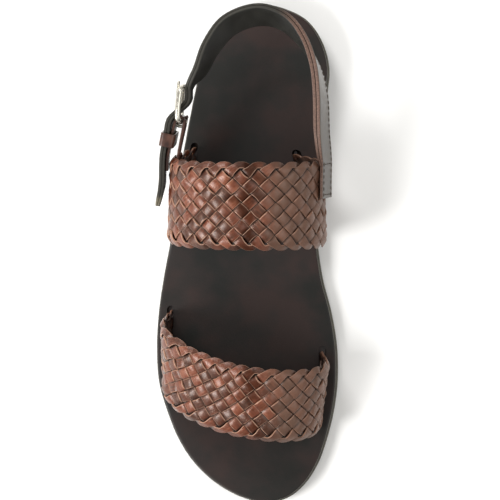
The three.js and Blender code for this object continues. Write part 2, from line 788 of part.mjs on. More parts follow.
// Rectangular ring with round corners, bowed outwards along its two long sides
function frameBar(radius) {
  const half = strapWidth / 2 + buckleClearance + wireRadius;
  const corners = [
    { toToe: 0, down: -1 },
    { toToe: 0, down: 1 },
    { toToe: -barSpan, down: 1 },
    { toToe: -barSpan, down: -1 },
  ];
  const middle = new THREE.Vector2(-barSpan / 2, 0);
  const points = corners.flatMap(({ toToe, down }) => {
    const [endwise, sidewise] = [Math.sign(toToe - middle.x), down];
    return cornerTurns.map((degrees) => {
      const angle = THREE.MathUtils.degToRad(endwise * sidewise > 0 ? 90 - degrees : degrees);
      return [
        toToe - endwise * buckleCorner * (1 - Math.sin(angle)),
        sidewise * (half - buckleCorner * (1 - Math.cos(angle))),
      ];
    });
  });
  const ring = points.map(([toToe, down]) => bowed(toToe, down));
  return ringSolid(new THREE.CatmullRomCurve3(ring, true, "centripetal"), radius);
}

function bowed(toToe, down) {
  const bow = buckleBow * Math.sin((Math.PI * Math.max(0, -toToe)) / barSpan);
  return onBuckle(toToe, bow).addScaledVector(buckle.across, down);
}

const slits = [...slitSolids(instepLine, instepWidth), ...slitSolids(forefootLine, forefootWidth)];
const insole = slits.reduce((solid, slit) => solid.subtract(slit), insoleSolid());

const group = new THREE.Group();
group.add(
  toMesh("heel", heelSolid(), greyRubber),
  toMesh("outsole", outsoleSolid(), soleLeather),
  toMesh("insole", insole, darkLeather),
  toMesh("instep_strap", plaitSolid(instepLine, instepWidth, instepStrands), brownLeather),
  toMesh("forefoot_strap", plaitSolid(forefootLine, forefootWidth, forefootStrands), brownLeather),
  toMesh("heel_strap", heelStrapSolid(), darkLeather),
  toMesh("buckle_strap", buckleStrapSolid(), edgeLeather),
  toMesh("keeper", keeperSolid(), edgeLeather),
  toMesh("buckle_frame", frameBar(wireRadius), nickel),
  toMesh("buckle_prong", prongSolid(), nickel),
);

export default group;
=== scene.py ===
"""Looks of a right-foot huarache sandal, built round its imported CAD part."""

import bisect
import math
import random

import bmesh
import bpy
from mathutils import Matrix, Vector


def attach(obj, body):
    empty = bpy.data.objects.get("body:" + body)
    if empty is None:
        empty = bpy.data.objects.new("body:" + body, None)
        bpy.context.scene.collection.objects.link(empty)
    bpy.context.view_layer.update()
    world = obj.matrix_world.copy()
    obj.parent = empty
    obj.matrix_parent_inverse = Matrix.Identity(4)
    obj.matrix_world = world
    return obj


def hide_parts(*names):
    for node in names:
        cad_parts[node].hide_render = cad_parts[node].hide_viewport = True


bl_info = {
    "name": "Huarache Sandal",
    "version": (1, 0, 0),
    "blender": (4, 5, 0),
    "location": "View3D > Sidebar > Sandal",
    "description": "Builds a plaited leather sandal and its stage",
    "category": "Add Mesh",
}

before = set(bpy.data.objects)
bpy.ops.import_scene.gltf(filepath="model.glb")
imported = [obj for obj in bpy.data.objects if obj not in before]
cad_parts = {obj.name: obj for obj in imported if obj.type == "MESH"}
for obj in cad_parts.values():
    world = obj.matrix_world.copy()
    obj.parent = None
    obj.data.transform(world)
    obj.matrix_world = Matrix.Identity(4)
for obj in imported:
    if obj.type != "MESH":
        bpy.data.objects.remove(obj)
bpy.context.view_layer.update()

# All sizes below are in millimetres, as in the CAD part, and MM turns them to metres.
MM = 0.001

# Sole
SOLE_LENGTH = 288.0
BALL_WIDTH = 105.5
HEEL_HEIGHT = 9.0
HEEL_LENGTH = 90.0
HEEL_INSET = 4.5
HEEL_CORNER = 3.0
BREAST_ANGLE = 4.0
BREAST_BEVEL = 2.5
OUTSOLE_THICKNESS = 4.0
INSOLE_THICKNESS = 3.0
INSOLE_MARGIN = 0.9
TOE_SPRING = 4.5
GAP = 0.3
HEEL_BACK = HEEL_LENGTH / 2
FOOTBED_RISE = OUTSOLE_THICKNESS + GAP + INSOLE_THICKNESS
BREAST_SHARE = HEEL_LENGTH / SOLE_LENGTH
BEND_START, BEND_END, BEND_TOE = BREAST_SHARE + 0.02, 0.58, 0.8

# Middle, reach and depth of the footbed's hollows under heel and ball
WORN_SEATS = [(Vector((0, 0)), 26.0, 0.35), (Vector((-10, -155)), 34.0, 0.3)]

# (share of the length from the back, inner and outer distance from the long axis in ball widths)
OUTLINE = [
    (0.012, 0.13, 0.19), (0.035, 0.236, 0.277), (0.075, 0.312, 0.332), (0.13, 0.353, 0.363),
    (0.2, 0.335, 0.403), (0.29, 0.31, 0.45), (0.38, 0.286, 0.493), (0.47, 0.281, 0.53),
    (0.55, 0.307, 0.576), (0.62, 0.355, 0.603), (0.69, 0.385, 0.613), (0.76, 0.387, 0.6),
    (0.82, 0.365, 0.552), (0.875, 0.327, 0.488), (0.92, 0.283, 0.404), (0.96, 0.215, 0.284),
    (0.988, 0.125, 0.142),
]

# Plaited straps
PLAIT_TOP = 3.0
SLIT_INSET = 9.5
SLIT_CLEARANCE = 0.5
SLIT_OVERRUN = 2.0
# How far a slit's cutter reaches past the strap's end and up along the strap
SLIT_BELOW, SLIT_ABOVE = 9.0, 5.0
# How much faster than its spacing a lace goes from over to under its neighbour
FLOAT_FLATNESS = 1.3
# Height above the outsole at which a lace ends in its slit
LACE_ROOT = 0.8
# Points of a lace's path from one crossing to the next
CROSSING_POINTS = 7
# How near a lace comes to the plait's edge and from where it folds over, in crossings
TURN_BACK, FOLD_REACH = 0.43, 1.3
FOLD_ROLL = math.radians(38)
# What one unit of unevenness does to a lace: its roll, pitch, slide and swell
ROLL_SPREAD, PITCH_SPREAD = math.radians(9), math.radians(7)
SLIDE_SPREAD, SWELL_SPREAD = 0.22, 0.06
# How far a lace that goes over stays below the solid's face, so that its slide can lift it
LACE_SUNK = 0.05
INSTEP = {"width": 49.5, "strands": 11, "crest": 58.0, "fall": 13.0}
FOREFOOT = {"width": 43.5, "strands": 10, "crest": 36.0, "fall": 18.0}
# (side, along, up, turn), from the outer slit over the foot to the inner one
INSTEP["rows"] = [
    (0, 0.375, 0, 3), (-0.065, 0.386, 0.2, 4), (-0.1, 0.398, 0.43, 4), (-0.035, 0.409, 0.7, 4),
    (0.18, 0.418, 0.91, 2), (0.52, 0.422, 1, 0), (0.87, 0.422, 0.93, 0), (1.115, 0.418, 0.72, 0),
    (1.215, 0.411, 0.43, 0), (1.16, 0.402, 0.2, 0), (1, 0.391, 0, 0),
]
FOREFOOT["rows"] = [
    (0, 0.691, 0, 0), (-0.008, 0.698, 0.22, 0), (-0.004, 0.709, 0.44, 0), (0.05, 0.73, 0.67, 0),
    (0.2, 0.761, 0.86, 0), (0.44, 0.788, 0.97, 0), (0.7, 0.801, 1, 2), (0.88, 0.802, 0.86, 6),
    (0.995, 0.794, 0.6, 9), (1.015, 0.782, 0.3, 9), (0.99, 0.772, 0, 7),
]

# Heel strap, buckle strap, keeper and buckle
STRAP_WIDTH = 18.0
STRAP_THICKNESS = 3.4
STRAP_HEIGHT = 60.0
PLY_THICKNESS = 1.6
CHAPE_WIDTH = 14.5
CHAPE_LAP = 8.0
TAIL_LAP = 29.0
TAIL_FLARE = 1.5
HOLE_PITCH = 8.0
HOLE_RADIUS = 1.3
SPARE_HOLES = 3
KEEPER_LENGTH = 7.6
KEEPER_WALL = 1.2
WIRE_RADIUS = 1.5
BUCKLE_LENGTH = 22.0
BUCKLE_CORNER = 3.0
BUCKLE_BOW = 2.5
BUCKLE_CLEARANCE = 0.8
PRONG_RADIUS = 0.9
PRONG_OVERHANG = 3.5
BAR_SPAN = BUCKLE_LENGTH - 2 * WIRE_RADIUS
FOLD_RADIUS = WIRE_RADIUS + GAP + PLY_THICKNESS / 2
PRONG_FOLD = WIRE_RADIUS + 2 * GAP + PRONG_RADIUS
STRAP_INSIDE = WIRE_RADIUS + GAP + STRAP_THICKNESS / 2
STRAP_OUTSIDE = PRONG_FOLD + PRONG_RADIUS + GAP + STRAP_THICKNESS / 2
TAIL_OVER_PLY = FOLD_RADIUS + (PLY_THICKNESS + STRAP_THICKNESS) / 2 + GAP
TAIL_OVER_PLAIT = PLAIT_TOP + GAP + PLY_THICKNESS + GAP + STRAP_THICKNESS / 2
INNER_SEAT, OUTER_SEAT, TAIL_SEAT = 0.81, 0.165, 0.145
INNER_LAP = 21.0
INNER_SKIVE = 4.0
LAP_THICKNESS = 1.7
TIP_SKIVE, TIP_SKIVE_LENGTH = 1.3, 12.0
# The strap's inner side is thicker by this much, from the end of the lap to where it fades out
HEEL_SWELL, SWELL_GROWTH = 0.9, 25.0
SWELL_FADES, SWELL_ENDS = 80.0, 120.0
KEEPER_SHARE = 0.5
PLY_CORNER, STRAP_CORNER, KEEPER_CORNER = 0.4, 0.55, 0.35
KEEPER_BEND = 1.3
# Depth of the seam that parts the heel strap's plies at its edges
SEAM_DEPTH = 0.16
STITCH_INSET = 2.0
PLY_STITCH_INSET, PLY_STITCH_END, PLY_STITCH_LENGTH = 1.8, 1.6, 12.0
STITCH_RISE, PLY_STITCH_RISE = 0.05, 0.03
# Where the long stitch row ends before the bar
STITCH_STOP = BAR_SPAN + 4.0
# Distance of the prong's hole from the bar towards the heel
PRONG_HOLE_BACK = 0.3 * BAR_SPAN
# (across in ball widths, along in sole lengths, up in strap heights, outward lean in degrees)
HEEL_ROWS = [
    (0.347, 0.278, 0.865, -13), (0.343, 0.205, 0.92, -11), (0.313, 0.146, 0.965, -2),
    (0.243, 0.096, 0.99, 11), (0.145, 0.062, 1, 20), (0.014, 0.05, 1.005, 25),
    (-0.136, 0.068, 1, 24), (-0.234, 0.109, 0.985, 17), (-0.296, 0.155, 0.955, 7),
]
BUCKLE_BAR_END = (-0.409, 0.25, 0.86)
BUCKLE_HEEL_END = (-0.39, 0.187, 0.905)
BUCKLE_LEAN = -5.0
BUCKLE_CLIMB = [(-1, 0), (-0.62, 0.02), (-0.27, 0.58), (0, 1)]


# Curves
def hermite(p1, p2, t1, t2, t):
    """Point of the cubic from p1 to p2 that leaves and arrives along t1 and t2."""
    return (
        p1
        + t1 * t
        + (3 * (p2 - p1) - 2 * t1 - t2) * t * t
        + (2 * (p1 - p2) + t1 + t2) * t * t * t
    )


class Spline:
    """Smooth curve through points; centripetal ones keep round corners free of loops."""

    def __init__(self, points, closed=False, centripetal=False):
        self.points, self.closed, self.centripetal = points, closed, centripetal
        self.spans = len(points) if closed else len(points) - 1

    def point(self, share):
        """Point at a share of the curve's spans."""
        place = min(max(share, 0.0), 1.0) * self.spans
        index = min(int(place), self.spans - 1)
        near = [self._neighbour(index + step) for step in (-1, 0, 1, 2)]
        p0, p1, p2, p3 = near
        if not self.centripetal:
            return hermite(p1, p2, (p2 - p0) / 2, (p3 - p1) / 2, place - index)
        d0, d1, d2 = (math.sqrt((near[k + 1] - near[k]).length) for k in range(3))
        t1 = ((p1 - p0) / d0 - (p2 - p0) / (d0 + d1) + (p2 - p1) / d1) * d1
        t2 = ((p2 - p1) / d1 - (p3 - p1) / (d1 + d2) + (p3 - p2) / d2) * d1
        return hermite(p1, p2, t1, t2, place - index)

    def _neighbour(self, index):
        count = len(self.points)
        if self.closed:
            return self.points[index % count]
        if index < 0:
            return 2 * self.points[0] - self.points[1]
        if index >= count:
            return 2 * self.points[-1] - self.points[-2]
        return self.points[index]

    def tangent(self, share):
        """Direction of the curve at a share of its spans."""
        step = 1e-4
        return (self.point(share + step) - self.point(share - step)).normalized()


class StrapLine:
    """Line that a strap follows, read by length; it runs on straight past both ends."""

    def __init__(self, points, widths):
        self.middle, self.width = Spline(points), Spline(widths)
        samples = 1200
        self.shares = [index / samples for index in range(samples + 1)]
        spots = [self.middle.point(share) for share in self.shares]
        self.lengths = [0.0]
        for near, far in zip(spots, spots[1:]):
            self.lengths.append(self.lengths[-1] + (far - near).length)
        self.length = self.lengths[-1]

    def at(self, distance):
        """Middle, and directions along, across and out of the strap, at a length."""
        inside = min(max(distance, 0.0), self.length)
        low = min(bisect.bisect_right(self.lengths, inside), len(self.shares) - 1) - 1
        high = low + 1
        part = (inside - self.lengths[low]) / (self.lengths[high] - self.lengths[low])
        share = self.shares[low] + (self.shares[high] - self.shares[low]) * part
        along = self.middle.tangent(share)
        centre = self.middle.point(share) + along * (distance - inside)
        across = self.width.point(share)
        across = (across - along * across.dot(along)).normalized()
        return centre, along, across, across.cross(along)


def place_on(spot, across, out, forward=0.0):
    """Point at offsets from a spot of a strap line."""
    centre, along, width, face = spot
    return centre + width * across + face * out + along * forward


# The sandal's lines
def point_along(along):
    """Y of a share of the sole's length."""
    return HEEL_BACK - along * SOLE_LENGTH


def smoothstep(value, low, high):
    """0 below low, 1 above high, smooth between."""
    share = min(max((value - low) / (high - low), 0.0), 1.0)
    return share * share * (3 - 2 * share)


def sole_lift(along):
    """Height of the outsole's underside."""
    toe = max(0.0, (along - BEND_TOE) / (1 - BEND_TOE))
    return HEEL_HEIGHT * (1 - smoothstep(along, BEND_START, BEND_END)) + TOE_SPRING * toe * toe


def sole_edge(column, along):
    """Distance of the sole's edge from the long axis; column 1 is inner, 2 outer."""
    for low, high in zip(OUTLINE, OUTLINE[1:]):
        if high[0] > along:
            share = (along - low[0]) / (high[0] - low[0])
            return BALL_WIDTH * (low[column] + (high[column] - low[column]) * share)
    return 0.0


def sole_outline():
    """Closed curve round the sole: down the inner side to the toe and back up the outer side."""
    inner = [Vector((row[1] * BALL_WIDTH, point_along(row[0]), 0)) for row in OUTLINE]
    outer = [Vector((-row[2] * BALL_WIDTH, point_along(row[0]), 0)) for row in OUTLINE]
    heel, toe = Vector((0, point_along(0), 0)), Vector((0, point_along(1), 0))
    return Spline([heel, *inner, toe, *reversed(outer)], closed=True, centripetal=True)


def outline_point(share, inset):
    """Point of the sole's outline drawn in by inset."""
    share %= 1.0
    step = 1e-4
    tangent = outline.point((share + step) % 1.0) - outline.point((share - step) % 1.0)
    tangent.normalize()
    point = outline.point(share)
    return Vector((point.x + inset * tangent.y, point.y - inset * tangent.x, 0))


def plait_line(rows, crest, fall):
    """Line of a plaited strap."""
    outer_slit = SLIT_INSET - sole_edge(2, rows[0][1])
    inner_slit = sole_edge(1, rows[-1][1]) - SLIT_INSET
    points, widths = [], []
    for side, along, up, turn in rows:
        x = outer_slit + (inner_slit - outer_slit) * side
        rise = sole_lift(along) + FOOTBED_RISE + up * crest
        points.append(Vector((x, point_along(along), rise)))
        angle = math.radians(turn)
        widths.append(Vector((-math.sin(angle), -math.cos(angle), -math.tan(math.radians(fall)))))
    return StrapLine(points, widths)


def upper_point(shares):
    """Point of the heel strap or buckle from its shares."""
    return Vector((shares[0] * BALL_WIDTH, point_along(shares[1]), shares[2] * STRAP_HEIGHT))


def downward(way, lean):
    """Downward width direction of a strap that runs along a way and leans outwards."""
    angle = math.radians(lean)
    outward = Vector((way.y, -way.x, 0)).normalized()
    return Vector((0, 0, -math.cos(angle))) - outward * math.sin(angle)


outline = sole_outline()
instep_line = plait_line(INSTEP["rows"], INSTEP["crest"], INSTEP["fall"])
forefoot_line = plait_line(FOREFOOT["rows"], FOREFOOT["crest"], FOREFOOT["fall"])


def buckle_spot():
    """The buckle's own frame: middle of the bar, towards the toe, down and out."""
    centre = upper_point(BUCKLE_BAR_END)
    along = (centre - upper_point(BUCKLE_HEEL_END)).normalized()
    across = downward(along, BUCKLE_LEAN)
    across = (across - along * across.dot(along)).normalized()
    return centre, along, across, across.cross(along)


buckle = buckle_spot()


def on_buckle(to_toe, out, down=0.0):
    """Point in the buckle's frame."""
    return place_on(buckle, down, out, to_toe)


def on_instep(seat, lap, out):
    """Point on the instep strap, lap measured forwards from its rear edge."""
    spot = instep_line.at(seat * instep_line.length)
    return place_on(spot, lap - INSTEP["width"] / 2, out)


def instep_upward(seat):
    """Direction of the instep strap at a seat."""
    return instep_line.at(seat * instep_line.length)[1]


def keeper_middle():
    """Middle of the heel strap where the keeper holds it."""
    return on_buckle(0, TAIL_OVER_PLY).lerp(on_instep(OUTER_SEAT, 0, TAIL_OVER_PLAIT), KEEPER_SHARE)


def heel_strap_line():
    """Line of the heel strap, from its sewn inner end round the heel to its tail."""
    on_plait = PLAIT_TOP + GAP + LAP_THICKNESS - STRAP_THICKNESS / 2
    inner_down, outer_down = instep_upward(INNER_SEAT), -instep_upward(OUTER_SEAT)
    points = [on_instep(INNER_SEAT, lap, on_plait) for lap in (INNER_LAP, INNER_LAP / 2, -1)]
    widths = [inner_down] * 3
    free = [upper_point(row) for row in HEEL_ROWS]
    for index, row in enumerate(HEEL_ROWS):
        way = free[min(index + 1, len(free) - 1)] - free[max(index - 1, 0)]
        points.append(free[index])
        widths.append(downward(way, row[3]))
    for to_toe, rise in BUCKLE_CLIMB:
        out = -STRAP_INSIDE + (STRAP_OUTSIDE + STRAP_INSIDE) * rise
        points.append(on_buckle(to_toe * BAR_SPAN, out))
        widths.append(buckle[2])
    points += [
        keeper_middle(),
        on_instep(OUTER_SEAT, 0, TAIL_OVER_PLAIT),
        on_instep(OUTER_SEAT, TAIL_LAP / 2, TAIL_OVER_PLAIT),
        on_instep(TAIL_SEAT, TAIL_LAP, TAIL_OVER_PLAIT + TAIL_FLARE),
    ]
    widths += [buckle[2], outer_down, outer_down, -instep_upward(TAIL_SEAT)]
    return StrapLine(points, widths)


def buckle_strap_line():
    """Line of the ply that folds round the buckle's bar and grips the instep strap."""
    inside = -GAP - PLY_THICKNESS / 2
    outside = PLAIT_TOP + GAP + PLY_THICKNESS / 2
    up, bar_up = instep_upward(OUTER_SEAT), -buckle[2]
    points = [on_instep(OUTER_SEAT, CHAPE_LAP, inside - 1), on_instep(OUTER_SEAT, 0, inside - 0.6)]
    for degrees in (-90, -45, 0, 45, 90):
        angle = math.radians(degrees)
        points.append(on_buckle(-FOLD_RADIUS * math.cos(angle), FOLD_RADIUS * math.sin(angle)))
    outer_edge = on_instep(OUTER_SEAT, 0, outside)
    points.append(on_buckle(0, FOLD_RADIUS).lerp(outer_edge, KEEPER_SHARE))
    points += [outer_edge, on_instep(OUTER_SEAT, CHAPE_LAP, outside + 0.2)]
    return StrapLine(points, [up] * 2 + [bar_up] * 6 + [up] * 2)


heel_line = heel_strap_line()
chape_line = buckle_strap_line()


def place_near(line, target):
    """Length along a line that lies nearest to a point."""
    steps = 400
    places = [line.length * index / steps for index in range(steps)]
    return min(places, key=lambda place: (line.at(place)[0] - target).length)


bar_place = place_near(heel_line, on_buckle(0, STRAP_OUTSIDE))


# Meshes
def new_object(name, mesh):
    """Object of a mesh, in the scene and at the origin."""
    piece = bpy.data.objects.new(name, mesh)
    bpy.context.scene.collection.objects.link(piece)
    return piece


def mesh_piece(name, points, faces, materials=(), indices=None, smooth=40.0):
    """Piece from points in millimetres; materials are names, and indices pick each face's."""
    mesh = bpy.data.meshes.new(name)
    mesh.from_pydata([point * MM for point in points], [], faces)
    for label in materials:
        mesh.materials.append(material(label))
    if indices:
        mesh.polygons.foreach_set("material_index", indices)
    mesh.update()
    finish_shading(mesh, smooth)
    return new_object(name, mesh)


def finish_shading(mesh, angle):
    """Smooth shading with sharp edges past an angle in degrees."""
    mesh.polygons.foreach_set("use_smooth", [True] * len(mesh.polygons))
    mesh.set_sharp_from_angle(angle=math.radians(angle))


def outward(mesh):
    """Turns a closed mesh's faces outwards."""
    work = bmesh.new()
    work.from_mesh(mesh)
    bmesh.ops.recalc_face_normals(work, faces=work.faces)
    work.to_mesh(mesh)
    work.free()


def quads(count, low, high):
    """Faces between two rings of count points that start at low and high."""
    steps = [(index, (index + 1) % count) for index in range(count)]
    return [(low + near, low + far, high + far, high + near) for near, far in steps]


def solid(name, rings, materials=(), indices=None, smooth=40.0, loop=False):
    """Closed piece through rings of equal count; a loop joins the last ring to the first."""
    points = [point for ring in rings for point in ring]
    count, total, faces = len(rings[0]), len(points), []
    for low in range(0, total if loop else total - count, count):
        faces += quads(count, low, (low + count) % total)
    if not loop:
        faces += [tuple(reversed(range(count))), tuple(range(total - count, total))]
    piece = mesh_piece(name, points, faces, materials, indices, smooth)
    outward(piece.data)
    return piece


def plate(name, rings, columns, materials, edge_layers, crown=None):
    """Closed plate through sole rings, its faces cut into columns and its lowest layers edged."""
    count, points = len(rings[0]), [point for ring in rings for point in ring]
    faces, indices = [], []
    for layer in range(len(rings) - 1):
        faces += [tuple(reversed(face)) for face in quads(count, layer * count, (layer + 1) * count)]
        indices += [1 if layer < edge_layers else 0] * count
    for layer, upper in ((0, False), (len(rings) - 1, True)):
        base, ring, rows = layer * count, rings[layer], []
        for index in range(count // 2 + 1):
            mirror = (count - index) % count
            if index in (0, count // 2):
                rows.append([base + index] * (columns + 1))
                continue
            between = [ring[index].lerp(ring[mirror], k / columns) for k in range(1, columns)]
            places = range(len(points), len(points) + len(between))
            points += [crown(point) if crown and upper else point for point in between]
            rows.append([base + index, *places, base + mirror])
        for near, far in zip(rows, rows[1:]):
            for column in range(columns):
                corner = [near[column], near[column + 1], far[column + 1], far[column]]
                corner = [c for k, c in enumerate(corner) if c != corner[k - 1]]
                if len(corner) > 2:
                    faces.append(tuple(corner if upper else reversed(corner)))
                    indices.append(0)
    return mesh_piece(name, points, faces, materials, indices, smooth=60)


def sole_ring(inset, lift, count=240):
    """Ring round the sole, drawn in and lifted off the underside's profile."""
    ring = [outline_point(index / count, inset) for index in range(count)]
    for point in ring:
        point.z = lift + sole_lift((HEEL_BACK - point.y) / SOLE_LENGTH)
    return ring


def strip_rings(line, places, width, thickness, profile, width_at=None, skive_at=None, stand=0.0):
    """Rings of a strip: profile gives shares of its half width and half thickness."""
    rings = []
    for place in places:
        spot = line.at(place)
        half = width / 2 * (width_at(place) if width_at else 1.0)
        skive = skive_at(place) if skive_at else 0.0
        rings.append([
            place_on(spot, across * half, out * thickness / 2 + stand + skive * (1 - out) / 2)
            for across, out in profile
        ])
    return rings


def rounded_profile(width, thickness, radius, groove=0.0, steps=4, columns=8):
    """Shares round a strap's section with round corners; groove parts the two plies."""
    half, deep = width / 2, thickness / 2
    turns = [math.radians(90 * k / steps) for k in range(steps + 1)]
    bends = [(radius * math.sin(turn), radius * math.cos(turn)) for turn in turns]
    spots = [(half - radius + sine, radius - deep - cosine) for sine, cosine in bends]
    if groove:
        spots += [(half, -groove), (half - groove, 0), (half, groove)]
    spots += [(half - radius + cosine, deep - radius + sine) for sine, cosine in bends]
    spots += [((1 - 2 * k / columns) * (half - radius), deep) for k in range(1, columns)]
    spots += [(-across, -out) for across, out in spots]
    return [(across / half, out / deep) for across, out in spots]


def even(start, end, step):
    """Evenly spaced places from start to end, about a step apart."""
    count = max(1, math.ceil((end - start) / step))
    return [start + (end - start) * index / count for index in range(count + 1)]


def circle(centre, first, second, radius, sides):
    """Ring of points round a centre, in the plane of two directions."""
    turns = [2 * math.pi * k / sides for k in range(sides)]
    return [centre + first * radius * math.cos(a) + second * radius * math.sin(a) for a in turns]


def tube_rings(path, radius_at, normal, sides, loop=False):
    """Rings of a round bar along a path of points."""
    rings, last = [], len(path) - 1
    for index, point in enumerate(path):
        if loop:
            way = path[(index + 1) % len(path)] - path[index - 1]
        else:
            way = path[min(index + 1, last)] - path[max(index - 1, 0)]
        way.normalize()
        first = (normal - way * normal.dot(way)).normalized()
        rings.append(circle(point, first, way.cross(first), radius_at(index / last), sides))
    return rings


def cut_away(piece, cutter):
    """Takes a cutter's volume out of a piece and removes the cutter."""
    cut = piece.modifiers.new("Cut", "BOOLEAN")
    cut.operation, cut.solver, cut.object, cut.use_self = "DIFFERENCE", "EXACT", cutter, True
    if cutter.data.materials:
        cut.material_mode = "TRANSFER"
    bake(piece)
    bpy.data.objects.remove(cutter)


def bake(piece):
    """Turns a piece with its modifiers into a plain mesh."""
    depsgraph = bpy.context.evaluated_depsgraph_get()
    depsgraph.update()
    mesh = bpy.data.meshes.new_from_object(piece.evaluated_get(depsgraph))
    mesh.name = piece.name
    piece.modifiers.clear()
    piece.data = mesh


def fit(piece, slot, *nodes):
    """Sets a finished piece on the part's one body and hides the nodes it stands for; the slot is not used.
    """
    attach(piece, "root")
    if nodes:
        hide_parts(*nodes)


# Nodes
def set_inputs(tree, node, inputs):
    """Sets sockets, each to a value or to another node's output."""
    for key, value in inputs.items():
        if isinstance(value, bpy.types.NodeSocket):
            tree.links.new(value, node.inputs[key])
        else:
            node.inputs[key].default_value = value


def add(tree, kind, inputs=None, **settings):
    """Adds a node with its settings and inputs."""
    node = tree.nodes.new(kind)
    for name, value in settings.items():
        setattr(node, name, value)
    set_inputs(tree, node, inputs or {})
    return node


def result(tree, kind, inputs=None, **settings):
    """Adds a node and gives its first output."""
    return add(tree, kind, inputs, **settings).outputs[0]


def linear(colour):
    """Linear RGBA of an sRGB hex colour."""
    channels = [(colour >> shift & 255) / 255 for shift in (16, 8, 0)]
    return [c / 12.92 if c <= 0.04045 else ((c + 0.055) / 1.055) ** 2.4 for c in channels] + [1.0]


def ramp(tree, factor, stops):
    """Colour ramp between (place, colour) stops."""
    node = add(tree, "ShaderNodeValToRGB", {"Fac": factor})
    elements = node.color_ramp.elements
    elements[0].position, elements[0].color = stops[0][0], linear(stops[0][1])
    elements[1].position, elements[1].color = stops[-1][0], linear(stops[-1][1])
    for place, colour in stops[1:-1]:
        elements.new(place).color = linear(colour)
    return node.outputs["Color"]


def blend_colours(tree, factor, first, second):
    """Mixes two colours by a factor; a colour is an output or an sRGB hex."""
    colours = [linear(colour) if isinstance(colour, int) else colour for colour in (first, second)]
    inputs = {0: factor, 6: colours[0], 7: colours[1]}
    return add(tree, "ShaderNodeMix", inputs, data_type="RGBA").outputs[2]


def maths(tree, operation, *values):
    """One sum on numbers."""
    return result(tree, "ShaderNodeMath", dict(enumerate(values)), operation=operation)


def scaled(tree, value, factor, offset=0.0):
    """A value times a factor, plus an offset."""
    return maths(tree, "MULTIPLY_ADD", value, factor, offset)


def span(tree, value, low, high, to_low=0.0, to_high=1.0):
    """Maps a value's range smoothly to another."""
    inputs = {"Value": value, "From Min": low, "From Max": high, "To Min": to_low, "To Max": to_high}
    return result(tree, "ShaderNodeMapRange", inputs, interpolation_type="SMOOTHSTEP")


def varied(tree, pattern, low, high):
    """Roughness that wanders between two values with a pattern."""
    return span(tree, pattern, 0.3, 0.7, low, high)


def noise(tree, place, size, detail=3.0, roughness=0.55):
    """Noise whose features are about size millimetres wide."""
    inputs = {"Vector": place, "Scale": 1 / (size * MM), "Detail": detail, "Roughness": roughness}
    return result(tree, "ShaderNodeTexNoise", inputs)


def drawn_out(tree, place, scale):
    """Coordinates whose noise is longer where the scale is small."""
    return result(tree, "ShaderNodeMapping", {"Vector": place, "Scale": scale})


def coordinate(tree, place, axis):
    """One coordinate of a place."""
    return add(tree, "ShaderNodeSeparateXYZ", {"Vector": place}).outputs[axis]


def grain(tree, place, size):
    """Leather pebbles about size millimetres wide."""
    return result(tree, "ShaderNodeTexVoronoi", {"Vector": place, "Scale": 1 / (size * MM)}, feature="F1")


def bump(tree, height, distance, strength=1.0, under=None):
    """Bump of a height, with its depth in millimetres."""
    inputs = {"Height": height, "Distance": distance * MM, "Strength": strength}
    if under:
        inputs["Normal"] = under
    return result(tree, "ShaderNodeBump", inputs)


def attribute(tree, name):
    """A number that the mesh carries."""
    return add(tree, "ShaderNodeAttribute", attribute_name=name).outputs["Fac"]


# Materials: each function gives the shader's inputs
def waxed_lace(tree, place):
    """Vegetable-tanned lace, skived and waxed: reddish brown, glossy where rubbed, with pale cut edges
    whose paleness is partly a painted highlight, and painted shade over the foot's middle and where a lace
    dips under its neighbour.
    """
    gloss = bpy.context.scene.sandal_look.gloss
    across, run = attribute(tree, "lace_edge"), attribute(tree, "lace_run")
    drawn = {"X": scaled(tree, run, 0.16), "Y": scaled(tree, across, 0.003)}
    streak = noise(tree, result(tree, "ShaderNodeCombineXYZ", drawn), 1.0, 4.0, 0.65)
    shade = scaled(tree, attribute(tree, "lace_tone"), 0.27, scaled(tree, streak, 0.5))
    shade = scaled(tree, noise(tree, place, 16.0, 2.0), 0.23, shade)
    colour = ramp(tree, shade, [
        (0.32, 0x2F170D), (0.43, 0x442011), (0.51, 0x582B19), (0.6, 0x6B3723), (0.72, 0x85523B),
    ])
    # Over the foot's middle the lace is duller, and painted shade darkens its colour there; on the inner
    # side it is worn grey
    x = coordinate(tree, place, "X")
    off = maths(tree, "ABSOLUTE", maths(tree, "ADD", x, 3 * MM))
    off = scaled(tree, noise(tree, place, 10.0), 40 * MM, off)
    dull = span(tree, off, 19 * MM, 31 * MM, 0.65, 0.0)
    # Painted shade: the band over the foot's middle is blended towards dark brown
    colour = blend_colours(tree, dull, colour, 0x301C14)
    worn = span(tree, scaled(tree, noise(tree, place, 14.0), 14 * MM, x), 6 * MM, 26 * MM)
    colour = blend_colours(tree, scaled(tree, worn, 0.8), colour, 0x5B4437)
    # Pale cut edges along each lace, their paleness partly real and partly a painted highlight; fainter on
    # the inner side
    pale = span(tree, maths(tree, "ABSOLUTE", across), 0.84, 0.94)
    pale = maths(tree, "MULTIPLY", pale, scaled(tree, worn, -0.5, 0.64))
    colour = blend_colours(tree, pale, colour, 0xBB9680)
    # Painted shade: where a lace dips under its neighbour its colour is darkened nearly to black
    dip = attribute(tree, "lace_dip")
    under = blend_colours(tree, span(tree, dip, -0.95, -0.3), 0x33211A, 0x160A07)
    rough = varied(tree, noise(tree, place, 3.0), gloss - 0.06, gloss + 0.1)
    pores = noise(tree, place, 1.3)
    return {
        "Base Color": blend_colours(tree, span(tree, dip, -0.1, 0.75), under, colour),
        "Roughness": scaled(tree, worn, 0.14, rough),
        "Normal": bump(tree, pores, 0.16, 0.6, bump(tree, streak, 0.5, 0.7)),
        "IOR": 1.5,
        "Specular IOR Level": scaled(tree, dull, -0.7, 0.55),
        "Specular Tint": linear(0xF6D8C6),
        "Coat Weight": scaled(tree, dull, -0.6, 0.4),
        "Coat Roughness": 0.3,
        "Coat Tint": linear(0xF6E2D6),
    }


